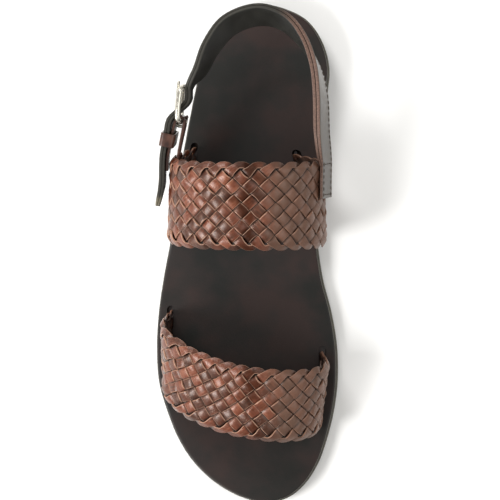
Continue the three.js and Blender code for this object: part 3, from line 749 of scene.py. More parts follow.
def brushed_insole_leather(tree, place):
    """Vegetable-tanned insole leather, dyed dark brown and brushed to a satin with a fine grain."""
    satin = bpy.context.scene.sandal_look.satin
    cloud = noise(tree, place, 38.0, 4.0)
    colour = ramp(tree, cloud, [(0.4, 0x141310), (0.5, 0x1D1512), (0.6, 0x251713)])
    speck = span(tree, noise(tree, place, 1.1, 5.0, 0.7), 0.62, 0.8)
    waves = noise(tree, place, 6.0)
    return {
        "Base Color": blend_colours(tree, scaled(tree, speck, 0.35), colour, 0x40362F),
        "Roughness": varied(tree, cloud, satin - 0.05, satin + 0.08),
        "Normal": bump(tree, waves, 0.12, 0.35, bump(tree, grain(tree, place, 0.9), 0.05, 0.45)),
        "Specular IOR Level": 0.3,
        "IOR": 1.48,
    }


def rolled_sole_leather(tree, place):
    """Bend leather rolled hard and polished dark: glossy, with faint brush lines down its length."""
    streak = noise(tree, drawn_out(tree, place, (1.0, 0.12, 1.0)), 2.0, 5.0)
    return {
        "Base Color": ramp(tree, streak, [(0.3, 0x2F2422), (0.55, 0x3A2E2B), (0.8, 0x4A3B35)]),
        "Roughness": varied(tree, streak, 0.26, 0.42),
        "Normal": bump(tree, noise(tree, place, 1.4, 4.0), 0.05, 0.4),
        "IOR": 1.5,
        "Coat Weight": 0.2,
        "Coat Roughness": 0.2,
    }


def shaded_cut_leather(tree, place):
    """Cut leather in the footbed's slits and in the seam between two plies: matte, its near-black colour
    painted shade in these recesses.
    """
    return {
        "Base Color": ramp(tree, noise(tree, place, 1.5), [(0.3, 0x0E0B09), (0.7, 0x1A130F)]),
        "Roughness": 0.95,
        "Specular IOR Level": 0.1,
    }


def burnished_edge(tree, place):
    """Cut edge of the sole, sanded and burnished: olive grey with fine layers along the cut."""
    layers = noise(tree, drawn_out(tree, place, (0.1, 0.1, 1.0)), 0.5)
    colour = ramp(tree, layers, [(0.3, 0x36332B), (0.55, 0x4C493F), (0.8, 0x605B4F)])
    patch = span(tree, noise(tree, place, 12.0), 0.4, 0.7)
    return {
        "Base Color": blend_colours(tree, scaled(tree, patch, 0.3), colour, 0x4A4038),
        "Roughness": 0.5,
        "Normal": bump(tree, layers, 0.08, 0.5),
    }


def cork_rubber(tree, place):
    """Moulded rubber with cork filler: matte dark grey-green, slightly mottled."""
    mottle = noise(tree, place, 5.0, 4.0)
    colour = ramp(tree, mottle, [(0.3, 0x3D403C), (0.55, 0x474A46), (0.8, 0x555752)])
    speck = span(tree, noise(tree, place, 0.8, 2.0), 0.66, 0.74)
    return {
        "Base Color": blend_colours(tree, scaled(tree, speck, 0.4), colour, 0x6D6B60),
        "Roughness": 0.78,
        "Normal": bump(tree, noise(tree, place, 0.6), 0.05, 0.6),
    }


def strap_lining(tree, place):
    """Inner ply of the heel strap, smooth lining leather: dark olive, close to black."""
    cloud = noise(tree, place, 9.0, 4.0)
    return {
        "Base Color": ramp(tree, cloud, [(0.3, 0x1A1916), (0.55, 0x22211D), (0.8, 0x2D2B25)]),
        "Roughness": varied(tree, cloud, 0.42, 0.55),
        "Normal": bump(tree, grain(tree, place, 0.8), 0.05, 0.4),
    }


def strap_face(tree, place):
    """Outer ply of the heel strap, waxed full-grain leather: grey brown and glossy."""
    cloud = noise(tree, place, 7.0, 4.0)
    return {
        "Base Color": ramp(tree, cloud, [(0.25, 0x2E2721), (0.5, 0x433B33), (0.75, 0x575047)]),
        "Roughness": varied(tree, cloud, 0.3, 0.45),
        "Normal": bump(tree, grain(tree, place, 0.8), 0.05, 0.5),
        "Coat Weight": 0.3,
        "Coat Roughness": 0.2,
    }


def raw_edge(tree, place):
    """Cut edges of leather plies, waxed: dark with a fibrous cut, tan on the inner side and the tip."""
    fibre = noise(tree, place, 0.8, 5.0, 0.7)
    tan = ramp(tree, fibre, [(0.3, 0x45312A), (0.55, 0x664D41), (0.8, 0x836759)])
    dark = ramp(tree, fibre, [(0.3, 0x1A1813), (0.55, 0x29261E), (0.8, 0x3A372C)])
    tip = heel_line.at(heel_line.length)[0].y * MM
    near_tip = span(tree, coordinate(tree, place, "Y"), tip + 5 * MM, tip + 1 * MM)
    inner = span(tree, coordinate(tree, place, "X"), 12 * MM, 26 * MM)
    return {
        "Base Color": blend_colours(tree, inner, blend_colours(tree, near_tip, dark, 0x6A6350), tan),
        "Roughness": 0.6,
        "Normal": bump(tree, fibre, 0.1, 0.6),
    }


def oiled_ply_leather(tree, place):
    """Thin oiled leather of the buckle strap and keeper: reddish brown with a shine on its bends."""
    cloud = noise(tree, place, 4.0, 4.0)
    return {
        "Base Color": ramp(tree, cloud, [(0.3, 0x29160F), (0.5, 0x402317), (0.75, 0x553223)]),
        "Roughness": varied(tree, cloud, 0.28, 0.42),
        "Normal": bump(tree, grain(tree, place, 0.7), 0.05, 0.5),
        "Coat Weight": 0.3,
        "Coat Roughness": 0.18,
    }


def nickel_plate(tree, place):
    """Nickel-plated steel wire: bright with fine wear scratches."""
    scratch = noise(tree, place, 2.5, 5.0, 0.6)
    return {
        "Base Color": ramp(tree, scratch, [(0.3, 0xC2BDB0), (0.7, 0xDAD6CB)]),
        "Roughness": varied(tree, scratch, 0.2, 0.28),
        "Metallic": 1.0,
    }


def waxed_thread(tree, place):
    """Waxed linen thread, twisted from three strands: dull brown."""
    twist = noise(tree, place, 0.3, 2.0)
    return {
        "Base Color": ramp(tree, twist, [(0.3, 0x2C231C), (0.7, 0x4F4134)]),
        "Roughness": 0.65,
        "Normal": bump(tree, twist, 0.05, 0.8),
    }


FINISHES = (
    waxed_lace, brushed_insole_leather, rolled_sole_leather, burnished_edge, cork_rubber, strap_lining,
    shaded_cut_leather, strap_face, raw_edge, oiled_ply_leather, nickel_plate, waxed_thread,
)


def material(name):
    """Material by name, made on first use with the object's coordinates."""
    made = bpy.data.materials.get(name)
    if not made:
        finish = next(finish for finish in FINISHES if finish.__name__ == name)
        made = bpy.data.materials.new(name)
        made.use_nodes = True
        tree = made.node_tree
        place = add(tree, "ShaderNodeTexCoord").outputs["Object"]
        inputs = {"Specular IOR Level": 0.4, **finish(tree, place)}
        set_inputs(tree, tree.nodes["Principled BSDF"], inputs)
    return made


# Node trees that repeat or follow
def new_node_tree(name, sizes):
    """Geometry tree with named inputs for its sizes and material."""
    tree = bpy.data.node_groups.new(name, "GeometryNodeTree")
    sockets = [("Geometry", "Geometry"), *((label, "Float") for label in sizes), ("Material", "Material")]
    for label, kind in sockets:
        tree.interface.new_socket(label, in_out="INPUT", socket_type="NodeSocket" + kind)
    tree.interface.new_socket("Geometry", in_out="OUTPUT", socket_type="NodeSocketGeometry")
    given = add(tree, "NodeGroupInput").outputs
    return tree, given, result(tree, "GeometryNodeMeshToCurve", {"Mesh": given["Geometry"]})


def end_tree(tree, geometry, given):
    """Ends a tree in plain geometry with its material."""
    real = result(tree, "GeometryNodeRealizeInstances", {"Geometry": geometry})
    smooth = result(tree, "GeometryNodeSetShadeSmooth", {"Geometry": real})
    coated = {"Geometry": smooth, "Material": given["Material"]}
    add(tree, "NodeGroupOutput", {0: result(tree, "GeometryNodeSetMaterial", coated)})
    return tree


def run_tree(piece, tree, values):
    """Runs a tree on a piece with its inputs and keeps the plain mesh."""
    modifier = piece.modifiers.new(tree.name, "NODES")
    modifier.node_group = tree
    for item in tree.interface.items_tree:
        if item.in_out == "INPUT" and item.name in values:
            modifier[item.identifier] = values[item.name]
    bake(piece)


def lace_tree():
    """Flat leather lace along polylines that carry their outward direction and swell."""
    tree, given, curve = new_node_tree("Leather lace", ["Width", "Thickness", "Corner"])

    def carried(name, kind="FLOAT"):
        return result(tree, "GeometryNodeInputNamedAttribute", {"Name": name}, data_type=kind)

    turned = {"Curve": curve, "Normal": carried("lace_out", "FLOAT_VECTOR")}
    turned = result(tree, "GeometryNodeSetCurveNormal", turned, mode="FREE")
    section = {"Width": given["Thickness"], "Height": given["Width"]}
    section = result(tree, "GeometryNodeCurvePrimitiveQuadrilateral", section, mode="RECTANGLE")
    section = {"Curve": section, "Radius": given["Corner"], "Count": 2}
    section = result(tree, "GeometryNodeFilletCurve", section, mode="POLY")
    spot = result(tree, "GeometryNodeInputPosition")
    half = maths(tree, "MULTIPLY", given["Width"], 0.5)
    share = maths(tree, "DIVIDE", coordinate(tree, spot, "Y"), half)
    section = result(
        tree, "GeometryNodeStoreNamedAttribute", {"Geometry": section, "Name": "lace_edge", "Value": share},
        data_type="FLOAT", domain="POINT",
    )
    body = {"Curve": turned, "Profile Curve": section, "Scale": carried("lace_swell"), "Fill Caps": True}
    return end_tree(tree, result(tree, "GeometryNodeCurveToMesh", body), given)


def stitch_tree():
    """Row of stitches along polylines, each a short bead of thread."""
    tree, given, curve = new_node_tree("Stitches", ["Pitch", "Length", "Thickness"])
    spots = {"Curve": curve, "Length": given["Pitch"]}
    spots = add(tree, "GeometryNodeCurveToPoints", spots, mode="LENGTH").outputs
    turn = {"Vector": spots["Tangent"]}
    size = {"X": given["Thickness"], "Y": given["Thickness"], "Z": given["Length"]}
    beads = {
        "Points": spots[0],
        "Instance": result(tree, "GeometryNodeMeshUVSphere", {"Segments": 8, "Rings": 6, "Radius": 0.5}),
        "Rotation": result(tree, "FunctionNodeAlignRotationToVector", turn, axis="Z"),
        "Scale": result(tree, "ShaderNodeCombineXYZ", size),
    }
    return end_tree(tree, result(tree, "GeometryNodeInstanceOnPoints", beads), given)


def polyline_mesh(name, lines):
    """Mesh of loose edges along lines of points in millimetres."""
    points, edges = [], []
    for line in lines:
        edges += [(len(points) + k, len(points) + k + 1) for k in range(len(line) - 1)]
        points += [point * MM for point in line]
    mesh = bpy.data.meshes.new(name)
    mesh.from_pydata(points, edges, [])
    return mesh


# Plaits
def root_level(point):
    """Height under a point of a plaited strap at which its laces end in the slit."""
    return sole_lift((HEEL_BACK - point.y) / SOLE_LENGTH) + OUTSOLE_THICKNESS + LACE_ROOT


def column(step, strands):
    """Fold of a lace's path between the plait's two edges, and whether it is rising."""
    phase = step % (2 * strands)
    return (phase, True) if phase <= strands else (2 * strands - phase, False)


def crossing(step, strands):
    """1 where a lace goes over its neighbour, -1 where it goes under and 0 at an edge."""
    place, rising = column(step, strands)
    if place in (0, strands):
        return 0.0
    return 1.0 if (place % 2 == 0) == rising else -1.0


def turned_back(place, strands):
    """Place across the plait with a rounded turn at the edge, and its distance from that edge."""
    near = min(place, strands - place)
    near = (near**4 + TURN_BACK**4) ** 0.25
    return (near if place < strands / 2 else strands - near), near


def plait_strands(line, strap, lace):
    """Laces of a flat plait: points, outward directions, swell, dip, tone and run."""
    width, strands = strap["width"], strap["strands"]
    cell = width / strands
    rows = round(line.length / cell)
    pitch = line.length / rows
    uneven = lace.unevenness
    rng = random.Random(strands)
    lift = (PLAIT_TOP - lace.lace_thickness / MM) / 2 - LACE_SUNK
    found = []
    for strand in range(strands):
        drawn, path = {}, []
        for tick in range(-2 * CROSSING_POINTS, (rows + 2) * CROSSING_POINTS + 1):
            time = tick / CROSSING_POINTS
            shift = time + 2 * strand + 1
            place, near = turned_back(column(shift, strands)[0], strands)
            low, nearest = math.floor(shift), round(shift)
            part = min(1.0, max(0.0, (shift - low - 0.5) * FLOAT_FLATNESS + 0.5))
            ease = part * part * part * (part * (part * 6 - 15) + 10)
            dip = crossing(low, strands)
            dip += (crossing(low + 1, strands) - dip) * ease
            edge = max(0.0, 1 - (near / FOLD_REACH) ** 2)
            if nearest not in drawn:
                drawn[nearest] = (rng.random(), *(rng.uniform(-1, 1) for _ in range(3)))
            tone, slide, tilt, pitch_up = drawn[nearest]
            flat = max(0.0, math.cos(math.pi * (shift - nearest))) * (1 - edge)
            roll = FOLD_ROLL * edge * (-1 if place < strands / 2 else 1)
            roll += ROLL_SPREAD * uneven * tilt * flat
            spot = line.at(time * pitch)
            out = spot[3] * math.cos(roll) + spot[2] * math.sin(roll)
            out += spot[1] * PITCH_SPREAD * uneven * pitch_up * flat
            across = (place / strands - 0.5) * width + SLIDE_SPREAD * uneven * slide * flat
            rise = PLAIT_TOP / 2 + dip * lift + LACE_SUNK * slide * flat
            point = place_on(spot, across, rise)
            if point.z < root_level(point):
                continue
            swell = 1 - (1 - lace.edge_narrowing) * edge + SWELL_SPREAD * uneven * pitch_up * flat
            # How much of a lace shows, kept up at its folded edges; the lace's painted shade darkens it
            # where this is low
            shown = max(dip, 0.55 * edge + dip * (1 - edge))
            # Each lace starts its run elsewhere, so that no two carry the same streaks
            run = (shift + 40 * strand) * cell * math.sqrt(2) * MM
            path.append((point, out, swell, shown, tone, run))
        found.append(path)
    return found


def plait_piece(name, line, strap, lace):
    """Plaited strap from its laces."""
    strands = plait_strands(line, strap, lace)
    mesh = polyline_mesh(name, [[spot[0] for spot in path] for path in strands])
    directions = []
    for path in strands:
        for index, (_, out, *_) in enumerate(path):
            way = path[min(index + 1, len(path) - 1)][0] - path[max(index - 1, 0)][0]
            way.normalize()
            directions.extend((out - way * out.dot(way)).normalized())
    outs = mesh.attributes.new("lace_out", "FLOAT_VECTOR", "POINT")
    outs.data.foreach_set("vector", directions)
    for place, label in enumerate(("lace_swell", "lace_dip", "lace_tone", "lace_run"), 2):
        layer = mesh.attributes.new(label, "FLOAT", "POINT")
        layer.data.foreach_set("value", [spot[place] for path in strands for spot in path])
    piece = new_object(name, mesh)
    run_tree(piece, lace_tree(), {
        "Width": strap["width"] / strap["strands"] * math.sqrt(2) * lace.lace_share * MM,
        "Thickness": lace.lace_thickness,
        "Corner": lace.lace_corner,
        "Material": material("waxed_lace"),
    })
    finish_shading(piece.data, 50)
    return piece


def stitch_piece(name, lines, stitching):
    """Stitches along lines of points."""
    piece = new_object(name, polyline_mesh(name, lines))
    run_tree(piece, stitch_tree(), {
        "Pitch": stitching.pitch, "Length": stitching.length, "Thickness": stitching.thread,
        "Material": material("waxed_thread"),
    })
    return piece


# Settings
class SandalLook(bpy.types.PropertyGroup):
    """Finish of the leathers."""

    gloss: bpy.props.FloatProperty(
        name="Plait roughness", description="Roughness of the plaited laces",
        default=0.33, min=0, max=1, subtype="FACTOR")
    satin: bpy.props.FloatProperty(
        name="Footbed roughness", description="Roughness of the footbed",
        default=0.44, min=0, max=1, subtype="FACTOR")


class SandalLace(bpy.types.PropertyGroup):
    """Sizes of the leather lace in the plaits."""

    lace_thickness: bpy.props.FloatProperty(
        name="Thickness", description="Thickness of a lace", default=1.35 * MM, unit="LENGTH")
    lace_corner: bpy.props.FloatProperty(
        name="Corner", description="Radius of a lace's long edges", default=0.4 * MM, unit="LENGTH")
    lace_share: bpy.props.FloatProperty(
        name="Width share", description="Width of a lace over the spacing of its neighbours",
        default=0.92, min=0.5, max=1.1, subtype="FACTOR")
    unevenness: bpy.props.FloatProperty(
        name="Unevenness", description="How unevenly the laces lie",
        default=1.5, min=0, max=2, subtype="FACTOR")
    edge_narrowing: bpy.props.FloatProperty(
        name="Edge share", description="Width of a lace where it turns back at the strap's edge",
        default=0.6, min=0.3, max=1.0, subtype="FACTOR")


class SandalStitching(bpy.types.PropertyGroup):
    """Sizes of the stitching."""

    pitch: bpy.props.FloatProperty(
        name="Pitch", description="Distance between stitches", default=3.2 * MM, unit="LENGTH")
    length: bpy.props.FloatProperty(
        name="Length", description="Length of a stitch", default=2.4 * MM, unit="LENGTH")
    thread: bpy.props.FloatProperty(
        name="Thread", description="Thickness of the thread", default=0.7 * MM, unit="LENGTH")


class SandalStage(bpy.types.PropertyGroup):
    """Floor, light and camera."""

    floor_colour: bpy.props.FloatVectorProperty(
        name="Floor", description="Colour of the floor", default=linear(0xF2F1EF), size=4, subtype="COLOR")
    lens: bpy.props.FloatProperty(
        name="Lens", description="Focal length in millimetres", default=135.7, min=20, max=400)
    distance: bpy.props.FloatProperty(
        name="Distance", description="Height of the camera over the sole", default=1.1, unit="LENGTH")


# Pieces
class SANDAL_OT_sole(bpy.types.Operator):
    """Build the heel, the outsole and the slit footbed"""

    bl_idname = "sandal.sole"
    bl_label = "Sole"

    def execute(self, context):
        """Builds the three layers."""
        self.heel()
        self.outsole()
        self.footbed()
        return {"FINISHED"}

    def heel(self):
        """D-shaped rubber block with a straight breast that leans back to the floor."""
        levels = [
            (0.0, HEEL_HEIGHT - GAP), (0.0, 6.5), (0.0, 4.0), (0.0, 1.8), (0.08, 1.1),
            (0.35, 0.55), (0.9, 0.15), (1.6, 0.0),
        ]
        rings = [self.heel_ring(inset, height) for inset, height in levels]
        fit(solid("heel_block", rings, ["cork_rubber"], smooth=35), "heel_rubber", "heel")

    def heel_ring(self, inset, height):
        """Outline of the block at a height, drawn in by inset."""
        side_steps, bend_steps, breast_steps = 60, 6, 16
        slant = -math.tan(math.radians(BREAST_ANGLE))
        rise = BREAST_BEVEL * (1 - (height + 1) / HEEL_HEIGHT)
        drawn = HEEL_INSET + inset

        def breast(x):
            return Vector((x, point_along(BREAST_SHARE) + rise + slant * x + inset, 0))

        def corner_share(low, high, falling):
            """Share of the outline where its round corner to the breast starts."""
            for _ in range(40):
                middle = (low + high) / 2
                spot = outline_point(middle, drawn)
                if (spot.y > breast(spot.x).y + HEEL_CORNER) == falling:
                    low = middle
                else:
                    high = middle
            return low

        def bend(a, b, c):
            shares = [k / bend_steps for k in range(1, bend_steps)]
            return [a.lerp(b, share).lerp(b.lerp(c, share), share) for share in shares]

        inner, outer = corner_share(0.0, 0.35, True), corner_share(0.65, 1.0, False)
        shares = [k / side_steps for k in range(side_steps + 1)]
        ring = [outline_point(inner * share, drawn) for share in shares]
        back = [outline_point(outer + (1 - outer) * share, drawn) for share in shares[:-1]]
        start, end = breast(ring[-1].x - HEEL_CORNER), breast(back[0].x + HEEL_CORNER)
        ring += bend(ring[-1], breast(ring[-1].x), start)
        ring += [start.lerp(end, k / breast_steps) for k in range(breast_steps + 1)]
        ring += bend(end, breast(back[0].x), back[0])
        return [Vector((point.x, point.y, height)) for point in ring + back]

    def outsole(self):
        """Outsole with burnished edges."""
        top = OUTSOLE_THICKNESS
        edge = [(0.9, 0.0), (0.45, 0.12), (0.12, 0.45), (0.0, 0.9)]
        levels = edge + [(0.0, top / 2)] + [(inset, top - lift) for inset, lift in reversed(edge)]
        rings = [sole_ring(inset, lift) for inset, lift in levels]
        materials = ["rolled_sole_leather", "burnished_edge"]
        fit(plate("outsole_layer", rings, 12, materials, len(rings)), "sole_leather", "outsole")

    def footbed(self):
        """Footbed with its slits cut, and worn slightly hollow under heel and ball."""
        bottom, top = OUTSOLE_THICKNESS + GAP, FOOTBED_RISE
        levels = [
            (0.0, bottom), (0.0, bottom + 1.2), (0.02, top - 0.8), (0.12, top - 0.4),
            (0.3, top - 0.15), (0.6, top - 0.03), (1.3, top),
        ]
        rings = [sole_ring(INSOLE_MARGIN + inset, lift) for inset, lift in levels]

        def hollow(point):
            for middle, reach, depth in WORN_SEATS:
                away = (point.xy - middle).length / reach
                point.z -= depth * math.exp(-away * away)
            return point

        materials = ["brushed_insole_leather", "burnished_edge"]
        piece = plate("footbed", rings, 40, materials, 3, hollow)
        for line, strap in ((instep_line, INSTEP), (forefoot_line, FOREFOOT)):
            width, deep = strap["width"] + 2 * SLIT_OVERRUN, PLAIT_TOP + 2 * SLIT_CLEARANCE
            profile = rounded_profile(width, deep, deep / 2 - 0.05, columns=4)
            far = line.length
            for start, end in ((-SLIT_BELOW, SLIT_ABOVE), (far - SLIT_ABOVE, far + SLIT_BELOW)):
                places = reversed(even(start, end, 2.0))
                slit = strip_rings(line, places, width, deep, profile, stand=PLAIT_TOP / 2)
                # The slit walls take the matte cut leather painted nearly black as shade
                cut_away(piece, solid("slit_cutter", slit, ["shaded_cut_leather"]))
        finish_shading(piece.data, 50)
        fit(piece, "footbed_leather", "insole")


class SANDAL_OT_plaits(bpy.types.Operator):
    """Build the two plaited straps"""

    bl_idname = "sandal.plaits"
    bl_label = "Plaited straps"

    def execute(self, context):
        """Builds both plaits."""
        lace = context.scene.sandal_lace
        instep = plait_piece("instep_plait", instep_line, INSTEP, lace)
        fit(instep, "plaited_leather", "instep_strap")
        forefoot = plait_piece("forefoot_plait", forefoot_line, FOREFOOT, lace)
        fit(forefoot, "plaited_leather", "forefoot_strap")
        return {"FINISHED"}


class SANDAL_OT_heel_strap(bpy.types.Operator):
    """Build the two-ply heel strap with its holes and stitching"""

    bl_idname = "sandal.heel_strap"
    bl_label = "Heel strap"

    def execute(self, context):
        """Builds the strap and its stitches."""
        piece = self.strap()
        for hole in range(SPARE_HOLES):
            self.punch(piece, bar_place + (hole + 1.5) * HOLE_PITCH, 2.5)
        finish_shading(piece.data, 40)
        fit(piece, "strap_leather", "heel_strap")
        self.stitches(context.scene.sandal_stitching)
        return {"FINISHED"}

    def strap(self):
        """Both plies in one, with the prong's hole."""
        round_end = STRAP_WIDTH / 2
        start = heel_line.length - round_end
        places = sorted([*even(0.0, start, 2.0), *even(INNER_LAP - 2, INNER_LAP + INNER_SKIVE, 0.7)])
        places = [a for a, b in zip(places, places[1:]) if b - a > 0.05] + [start]
        places += [start + round_end * math.sin(math.radians(5 * k)) for k in range(1, 18)]

        def width_at(place):
            share = min(1.0, max(0.0, (place - start) / round_end))
            return max(0.05, math.sqrt(1 - share * share))

        def skive_at(place):
            whole = smoothstep(place, INNER_LAP - INNER_SKIVE / 2, INNER_LAP + INNER_SKIVE)
            tip = smoothstep(place, heel_line.length - TIP_SKIVE_LENGTH, heel_line.length)
            thick = smoothstep(place, INNER_LAP, INNER_LAP + SWELL_GROWTH)
            thick *= 1 - smoothstep(place, SWELL_FADES, SWELL_ENDS)
            return (STRAP_THICKNESS - LAP_THICKNESS) * (1 - whole) + TIP_SKIVE * tip - HEEL_SWELL * thick

        profile = rounded_profile(STRAP_WIDTH, STRAP_THICKNESS, STRAP_CORNER, groove=SEAM_DEPTH)
        rings = strip_rings(
            heel_line, places, STRAP_WIDTH, STRAP_THICKNESS, profile, width_at, skive_at
        )
        lining, face, cut, seam = range(4)
        around = []
        for near, far in zip(profile, profile[1:] + profile[:1]):
            out = (near[1] + far[1]) / 2
            # The seam faces between the two plies take cut leather painted nearly black as shade in the
            # groove
            around.append(lining if out < -0.9 else face if out > 0.9 else seam if abs(out) < 0.12 else cut)
        indices = around * (len(rings) - 1) + [cut, cut]
        materials = ["strap_lining", "strap_face", "raw_edge", "shaded_cut_leather"]
        piece = solid("heel_strap_leather", rings, materials, indices)
        self.punch(piece, bar_place - PRONG_HOLE_BACK, 4.0)
        return piece

    def punch(self, piece, place, reach):
        """Punches a round hole."""
        centre, along, across, out = heel_line.at(place)
        rings = [circle(centre + out * depth, along, across, HOLE_RADIUS, 20) for depth in (-reach, reach)]
        cut_away(piece, solid("punch", rings))

    def stitches(self, stitching):
        """Stitch rows on the outer face, and across the sewn end."""
        face, side = STRAP_THICKNESS / 2 + STITCH_RISE, STRAP_WIDTH / 2 - STITCH_INSET
        first, last = STITCH_INSET, INNER_LAP - STITCH_INSET
        rows = [
            [place_on(heel_line.at(place), across, face) for place in even(first, end, 1.5)]
            for across, end in ((side, bar_place - STITCH_STOP), (-side, last))
        ]
        rows += [
            [place_on(heel_line.at(place), share * side, face) for share in even(-1.0, 1.0, 0.1)]
            for place in (first, last)
        ]
        fit(stitch_piece("heel_strap_stitches", rows, stitching), "strap_leather")


class SANDAL_OT_fastening(bpy.types.Operator):
    """Build the buckle strap, keeper, buckle frame and prong"""

    bl_idname = "sandal.fastening"
    bl_label = "Buckle and keeper"

    def execute(self, context):
        """Builds the four pieces."""
        self.buckle_strap(context.scene.sandal_stitching)
        self.keeper()
        self.buckle_frame()
        self.prong()
        return {"FINISHED"}

    def prong_path(self, start):
        """Points of the prong, from its hook round the bar to its tip."""
        turns = [math.radians(degrees) for degrees in (start, -80, -50, -20, 10, 40, 65)]
        spots = [on_buckle(PRONG_FOLD * math.cos(turn), PRONG_FOLD * math.sin(turn)) for turn in turns]
        spots += [on_buckle(share * BAR_SPAN, PRONG_FOLD) for share in (-0.2, -0.6, -1)]
        spots.append(on_buckle(-BAR_SPAN - PRONG_OVERHANG, PRONG_FOLD))
        curve, steps = Spline(spots, centripetal=True), 90
        return [curve.point(index / steps) for index in range(steps + 1)]

    def buckle_strap(self, stitching):
        """Folded ply with a slot for the prong."""
        end = chape_line.length
        profile = rounded_profile(CHAPE_WIDTH, PLY_THICKNESS, PLY_CORNER)
        rings = strip_rings(chape_line, even(0.0, end, 0.8), CHAPE_WIDTH, PLY_THICKNESS, profile)
        piece = solid("buckle_ply", rings, ["oiled_ply_leather"], smooth=45)
        slot = tube_rings(self.prong_path(-130), lambda share: HOLE_RADIUS, buckle[2], 12)
        cut_away(piece, solid("slot_cutter", slot))
        finish_shading(piece.data, 45)
        fit(piece, "ply_leather", "buckle_strap")
        side, face = CHAPE_WIDTH / 2 - PLY_STITCH_INSET, PLY_THICKNESS / 2 + PLY_STITCH_RISE
        first, last = end - PLY_STITCH_LENGTH, end - PLY_STITCH_END
        rows = [
            [place_on(chape_line.at(place), across, -face) for place in even(first, last, 1.0)]
            for across in (-side, side)
        ]
        rows.append([place_on(chape_line.at(last), share * side, -face) for share in even(-1, 1, 0.1)])
        fit(stitch_piece("buckle_ply_stitches", rows, stitching), "ply_leather")

    def keeper(self):
        """Loop of leather round tail and ply."""
        centre, along, across, out = heel_line.at(place_near(heel_line, keeper_middle()))
        outer = STRAP_THICKNESS / 2 + GAP + KEEPER_WALL / 2
        inner = -STRAP_THICKNESS / 2 - GAP - PLY_THICKNESS - 1.5 * GAP - KEEPER_WALL / 2
        half = STRAP_WIDTH / 2 + GAP + KEEPER_WALL / 2
        profile = rounded_profile(KEEPER_LENGTH, KEEPER_WALL, KEEPER_CORNER)
        rings = []
        for side, top, first in ((1, 1, 0), (-1, 1, 90), (-1, -1, 180), (1, -1, 270)):
            corner = centre + across * side * (half - KEEPER_BEND)
            corner += out * (outer - KEEPER_BEND if top > 0 else inner + KEEPER_BEND)
            for step in range(5):
                turn = math.radians(first + 90 * step / 4)
                away = across * math.cos(turn) + out * math.sin(turn)
                bend = corner + away * KEEPER_BEND
                rings.append([
                    bend + away * rise * KEEPER_WALL / 2 + along * length * KEEPER_LENGTH / 2
                    for length, rise in profile
                ])
        piece = solid("keeper_loop", rings, ["oiled_ply_leather"], smooth=50, loop=True)
        fit(piece, "ply_leather", "keeper")

    def buckle_frame(self):
        """Rectangular wire frame with round corners, bowed outwards."""
        half = STRAP_WIDTH / 2 + BUCKLE_CLEARANCE + WIRE_RADIUS
        spots = []
        for to_toe, down in ((0, -1), (0, 1), (-BAR_SPAN, 1), (-BAR_SPAN, -1)):
            endwise = 1 if to_toe > -BAR_SPAN / 2 else -1
            for degrees in (15, 45, 75):
                turn = math.radians(90 - degrees if endwise * down > 0 else degrees)
                place = to_toe - endwise * BUCKLE_CORNER * (1 - math.sin(turn))
                bow = BUCKLE_BOW * math.sin(math.pi * max(0, -place) / BAR_SPAN)
                spots.append(on_buckle(place, bow, down * (half - BUCKLE_CORNER * (1 - math.cos(turn)))))
        curve, steps = Spline(spots, closed=True, centripetal=True), 160
        path = [curve.point(index / steps) for index in range(steps)]
        rings = tube_rings(path, lambda share: WIRE_RADIUS, buckle[3], 16, loop=True)
        piece = solid("buckle_wire", rings, ["nickel_plate"], smooth=80, loop=True)
        fit(piece, "nickel", "buckle_frame")

    def prong(self):
        """Prong hooked round the bar, with a rounded tip."""
        round_tip = 0.045

        def radius_at(share):
            tip = min(1.0, max(0.0, (share - 1 + round_tip) / round_tip))
            return PRONG_RADIUS * max(0.12, math.sqrt(1 - tip * tip))

        rings = tube_rings(self.prong_path(-110), radius_at, buckle[2], 14)
        fit(solid("buckle_tongue", rings, ["nickel_plate"], smooth=60), "nickel", "buckle_prong")


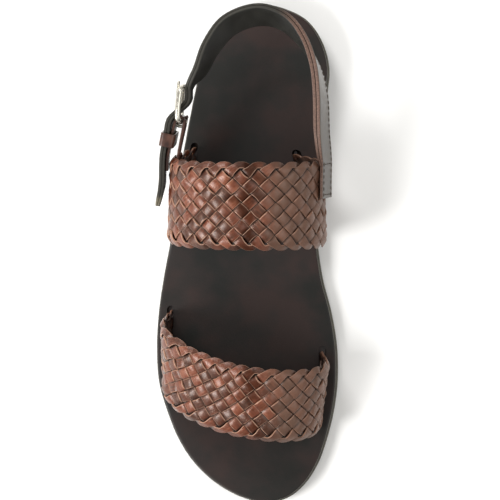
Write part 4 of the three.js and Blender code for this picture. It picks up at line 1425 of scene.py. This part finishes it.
class SANDAL_OT_stage(bpy.types.Operator):
    """Set up the floor, the lights and the camera"""

    bl_idname = "sandal.stage"
    bl_label = "Stage"

    def execute(self, context):
        """Builds the stage."""
        settings = context.scene.sandal_stage
        self.floor(settings.floor_colour)
        self.lights(context)
        self.camera(context, settings)
        return {"FINISHED"}

    def floor(self, colour):
        """Pale floor under the sandal."""
        reach = 3.0
        corners = [(x * reach, y * reach, 0) for x, y in ((-1, -1), (1, -1), (1, 1), (-1, 1))]
        mesh = bpy.data.meshes.new("floor")
        mesh.from_pydata(corners, [], [(0, 1, 2, 3)])
        paper = bpy.data.materials.new("matte_paper")
        paper.use_nodes = True
        tree = paper.node_tree
        set_inputs(tree, tree.nodes["Principled BSDF"], {"Base Color": colour, "Roughness": 0.9})
        mesh.materials.append(paper)
        new_object("floor", mesh)

    def lights(self, context):
        """Large soft lights from above, and a pale sky."""
        world = bpy.data.worlds.new("studio")
        world.use_nodes = True
        tree = world.node_tree
        set_inputs(tree, tree.nodes["Background"], {"Color": linear(0xF4F4F2), "Strength": 0.62})
        context.scene.world = world
        aim = Vector((0, -0.1, 0.03))
        for name, place, size, power in (
            ("key", (-0.75, -0.45, 0.75), 0.42, 11.5),
            ("back", (-0.45, 0.8, 1.0), 0.5, 9.0),
            ("fill", (0.9, -0.2, 1.2), 1.0, 6.0),
        ):
            lamp = bpy.data.lights.new(name, "AREA")
            lamp.size, lamp.energy = size, power
            light = bpy.data.objects.new(name, lamp)
            light.location = place
            light.rotation_euler = (aim - light.location).to_track_quat("-Z", "Y").to_euler()
            context.scene.collection.objects.link(light)

    def camera(self, context, settings):
        """Camera above the sandal, tipped to the outer side and the toe, with plain colour."""
        context.scene.view_settings.view_transform = "Standard"
        # Point of the floor in the middle of the picture
        aim = Vector((-0.0103, -0.0969, 0.0))
        side_tip, toe_tip = math.radians(7), math.radians(3)
        back = Vector((math.tan(side_tip), -math.tan(toe_tip), 1.0)).normalized()
        lens = bpy.data.cameras.new("camera")
        lens.lens, lens.sensor_width = settings.lens, 36.0
        camera = bpy.data.objects.new("camera", lens)
        camera.location = aim + back * settings.distance
        up = Vector((0, 1, 0))
        up = (up - back * up.dot(back)).normalized()
        camera.rotation_euler = Matrix((up.cross(back), up, back)).transposed().to_euler()
        context.scene.collection.objects.link(camera)
        context.scene.camera = camera


class SANDAL_PT_panel(bpy.types.Panel):
    """Lists the sandal's pieces and settings"""

    bl_idname = "SANDAL_PT_panel"
    bl_label = "Huarache sandal"
    bl_space_type = "VIEW_3D"
    bl_region_type = "UI"
    bl_category = "Sandal"

    def draw(self, context):
        """Draws settings and buttons."""
        for group in GROUPS:
            settings = getattr(context.scene, group)
            box = self.layout.box()
            for name in settings.__annotations__:
                box.prop(settings, name)
        for operator in OPERATORS:
            self.layout.operator(operator.bl_idname)


OPERATORS = (
    SANDAL_OT_sole, SANDAL_OT_plaits, SANDAL_OT_heel_strap, SANDAL_OT_fastening, SANDAL_OT_stage,
)
GROUPS = {
    "sandal_look": SandalLook, "sandal_lace": SandalLace,
    "sandal_stitching": SandalStitching, "sandal_stage": SandalStage,
}


def register():
    """Registers groups, operators and panel."""
    for name, group in GROUPS.items():
        bpy.utils.register_class(group)
        setattr(bpy.types.Scene, name, bpy.props.PointerProperty(type=group))
    for operator in (*OPERATORS, SANDAL_PT_panel):
        bpy.utils.register_class(operator)


def unregister():
    """Takes them out again."""
    for operator in reversed((*OPERATORS, SANDAL_PT_panel)):
        bpy.utils.unregister_class(operator)
    for name, group in GROUPS.items():
        delattr(bpy.types.Scene, name)
        bpy.utils.unregister_class(group)


def main():
    """Builds the sandal."""
    register()
    bpy.ops.sandal.stage()
    bpy.ops.sandal.sole()
    bpy.ops.sandal.plaits()
    bpy.ops.sandal.heel_strap()
    bpy.ops.sandal.fastening()


if __name__ == "__main__":
    main()
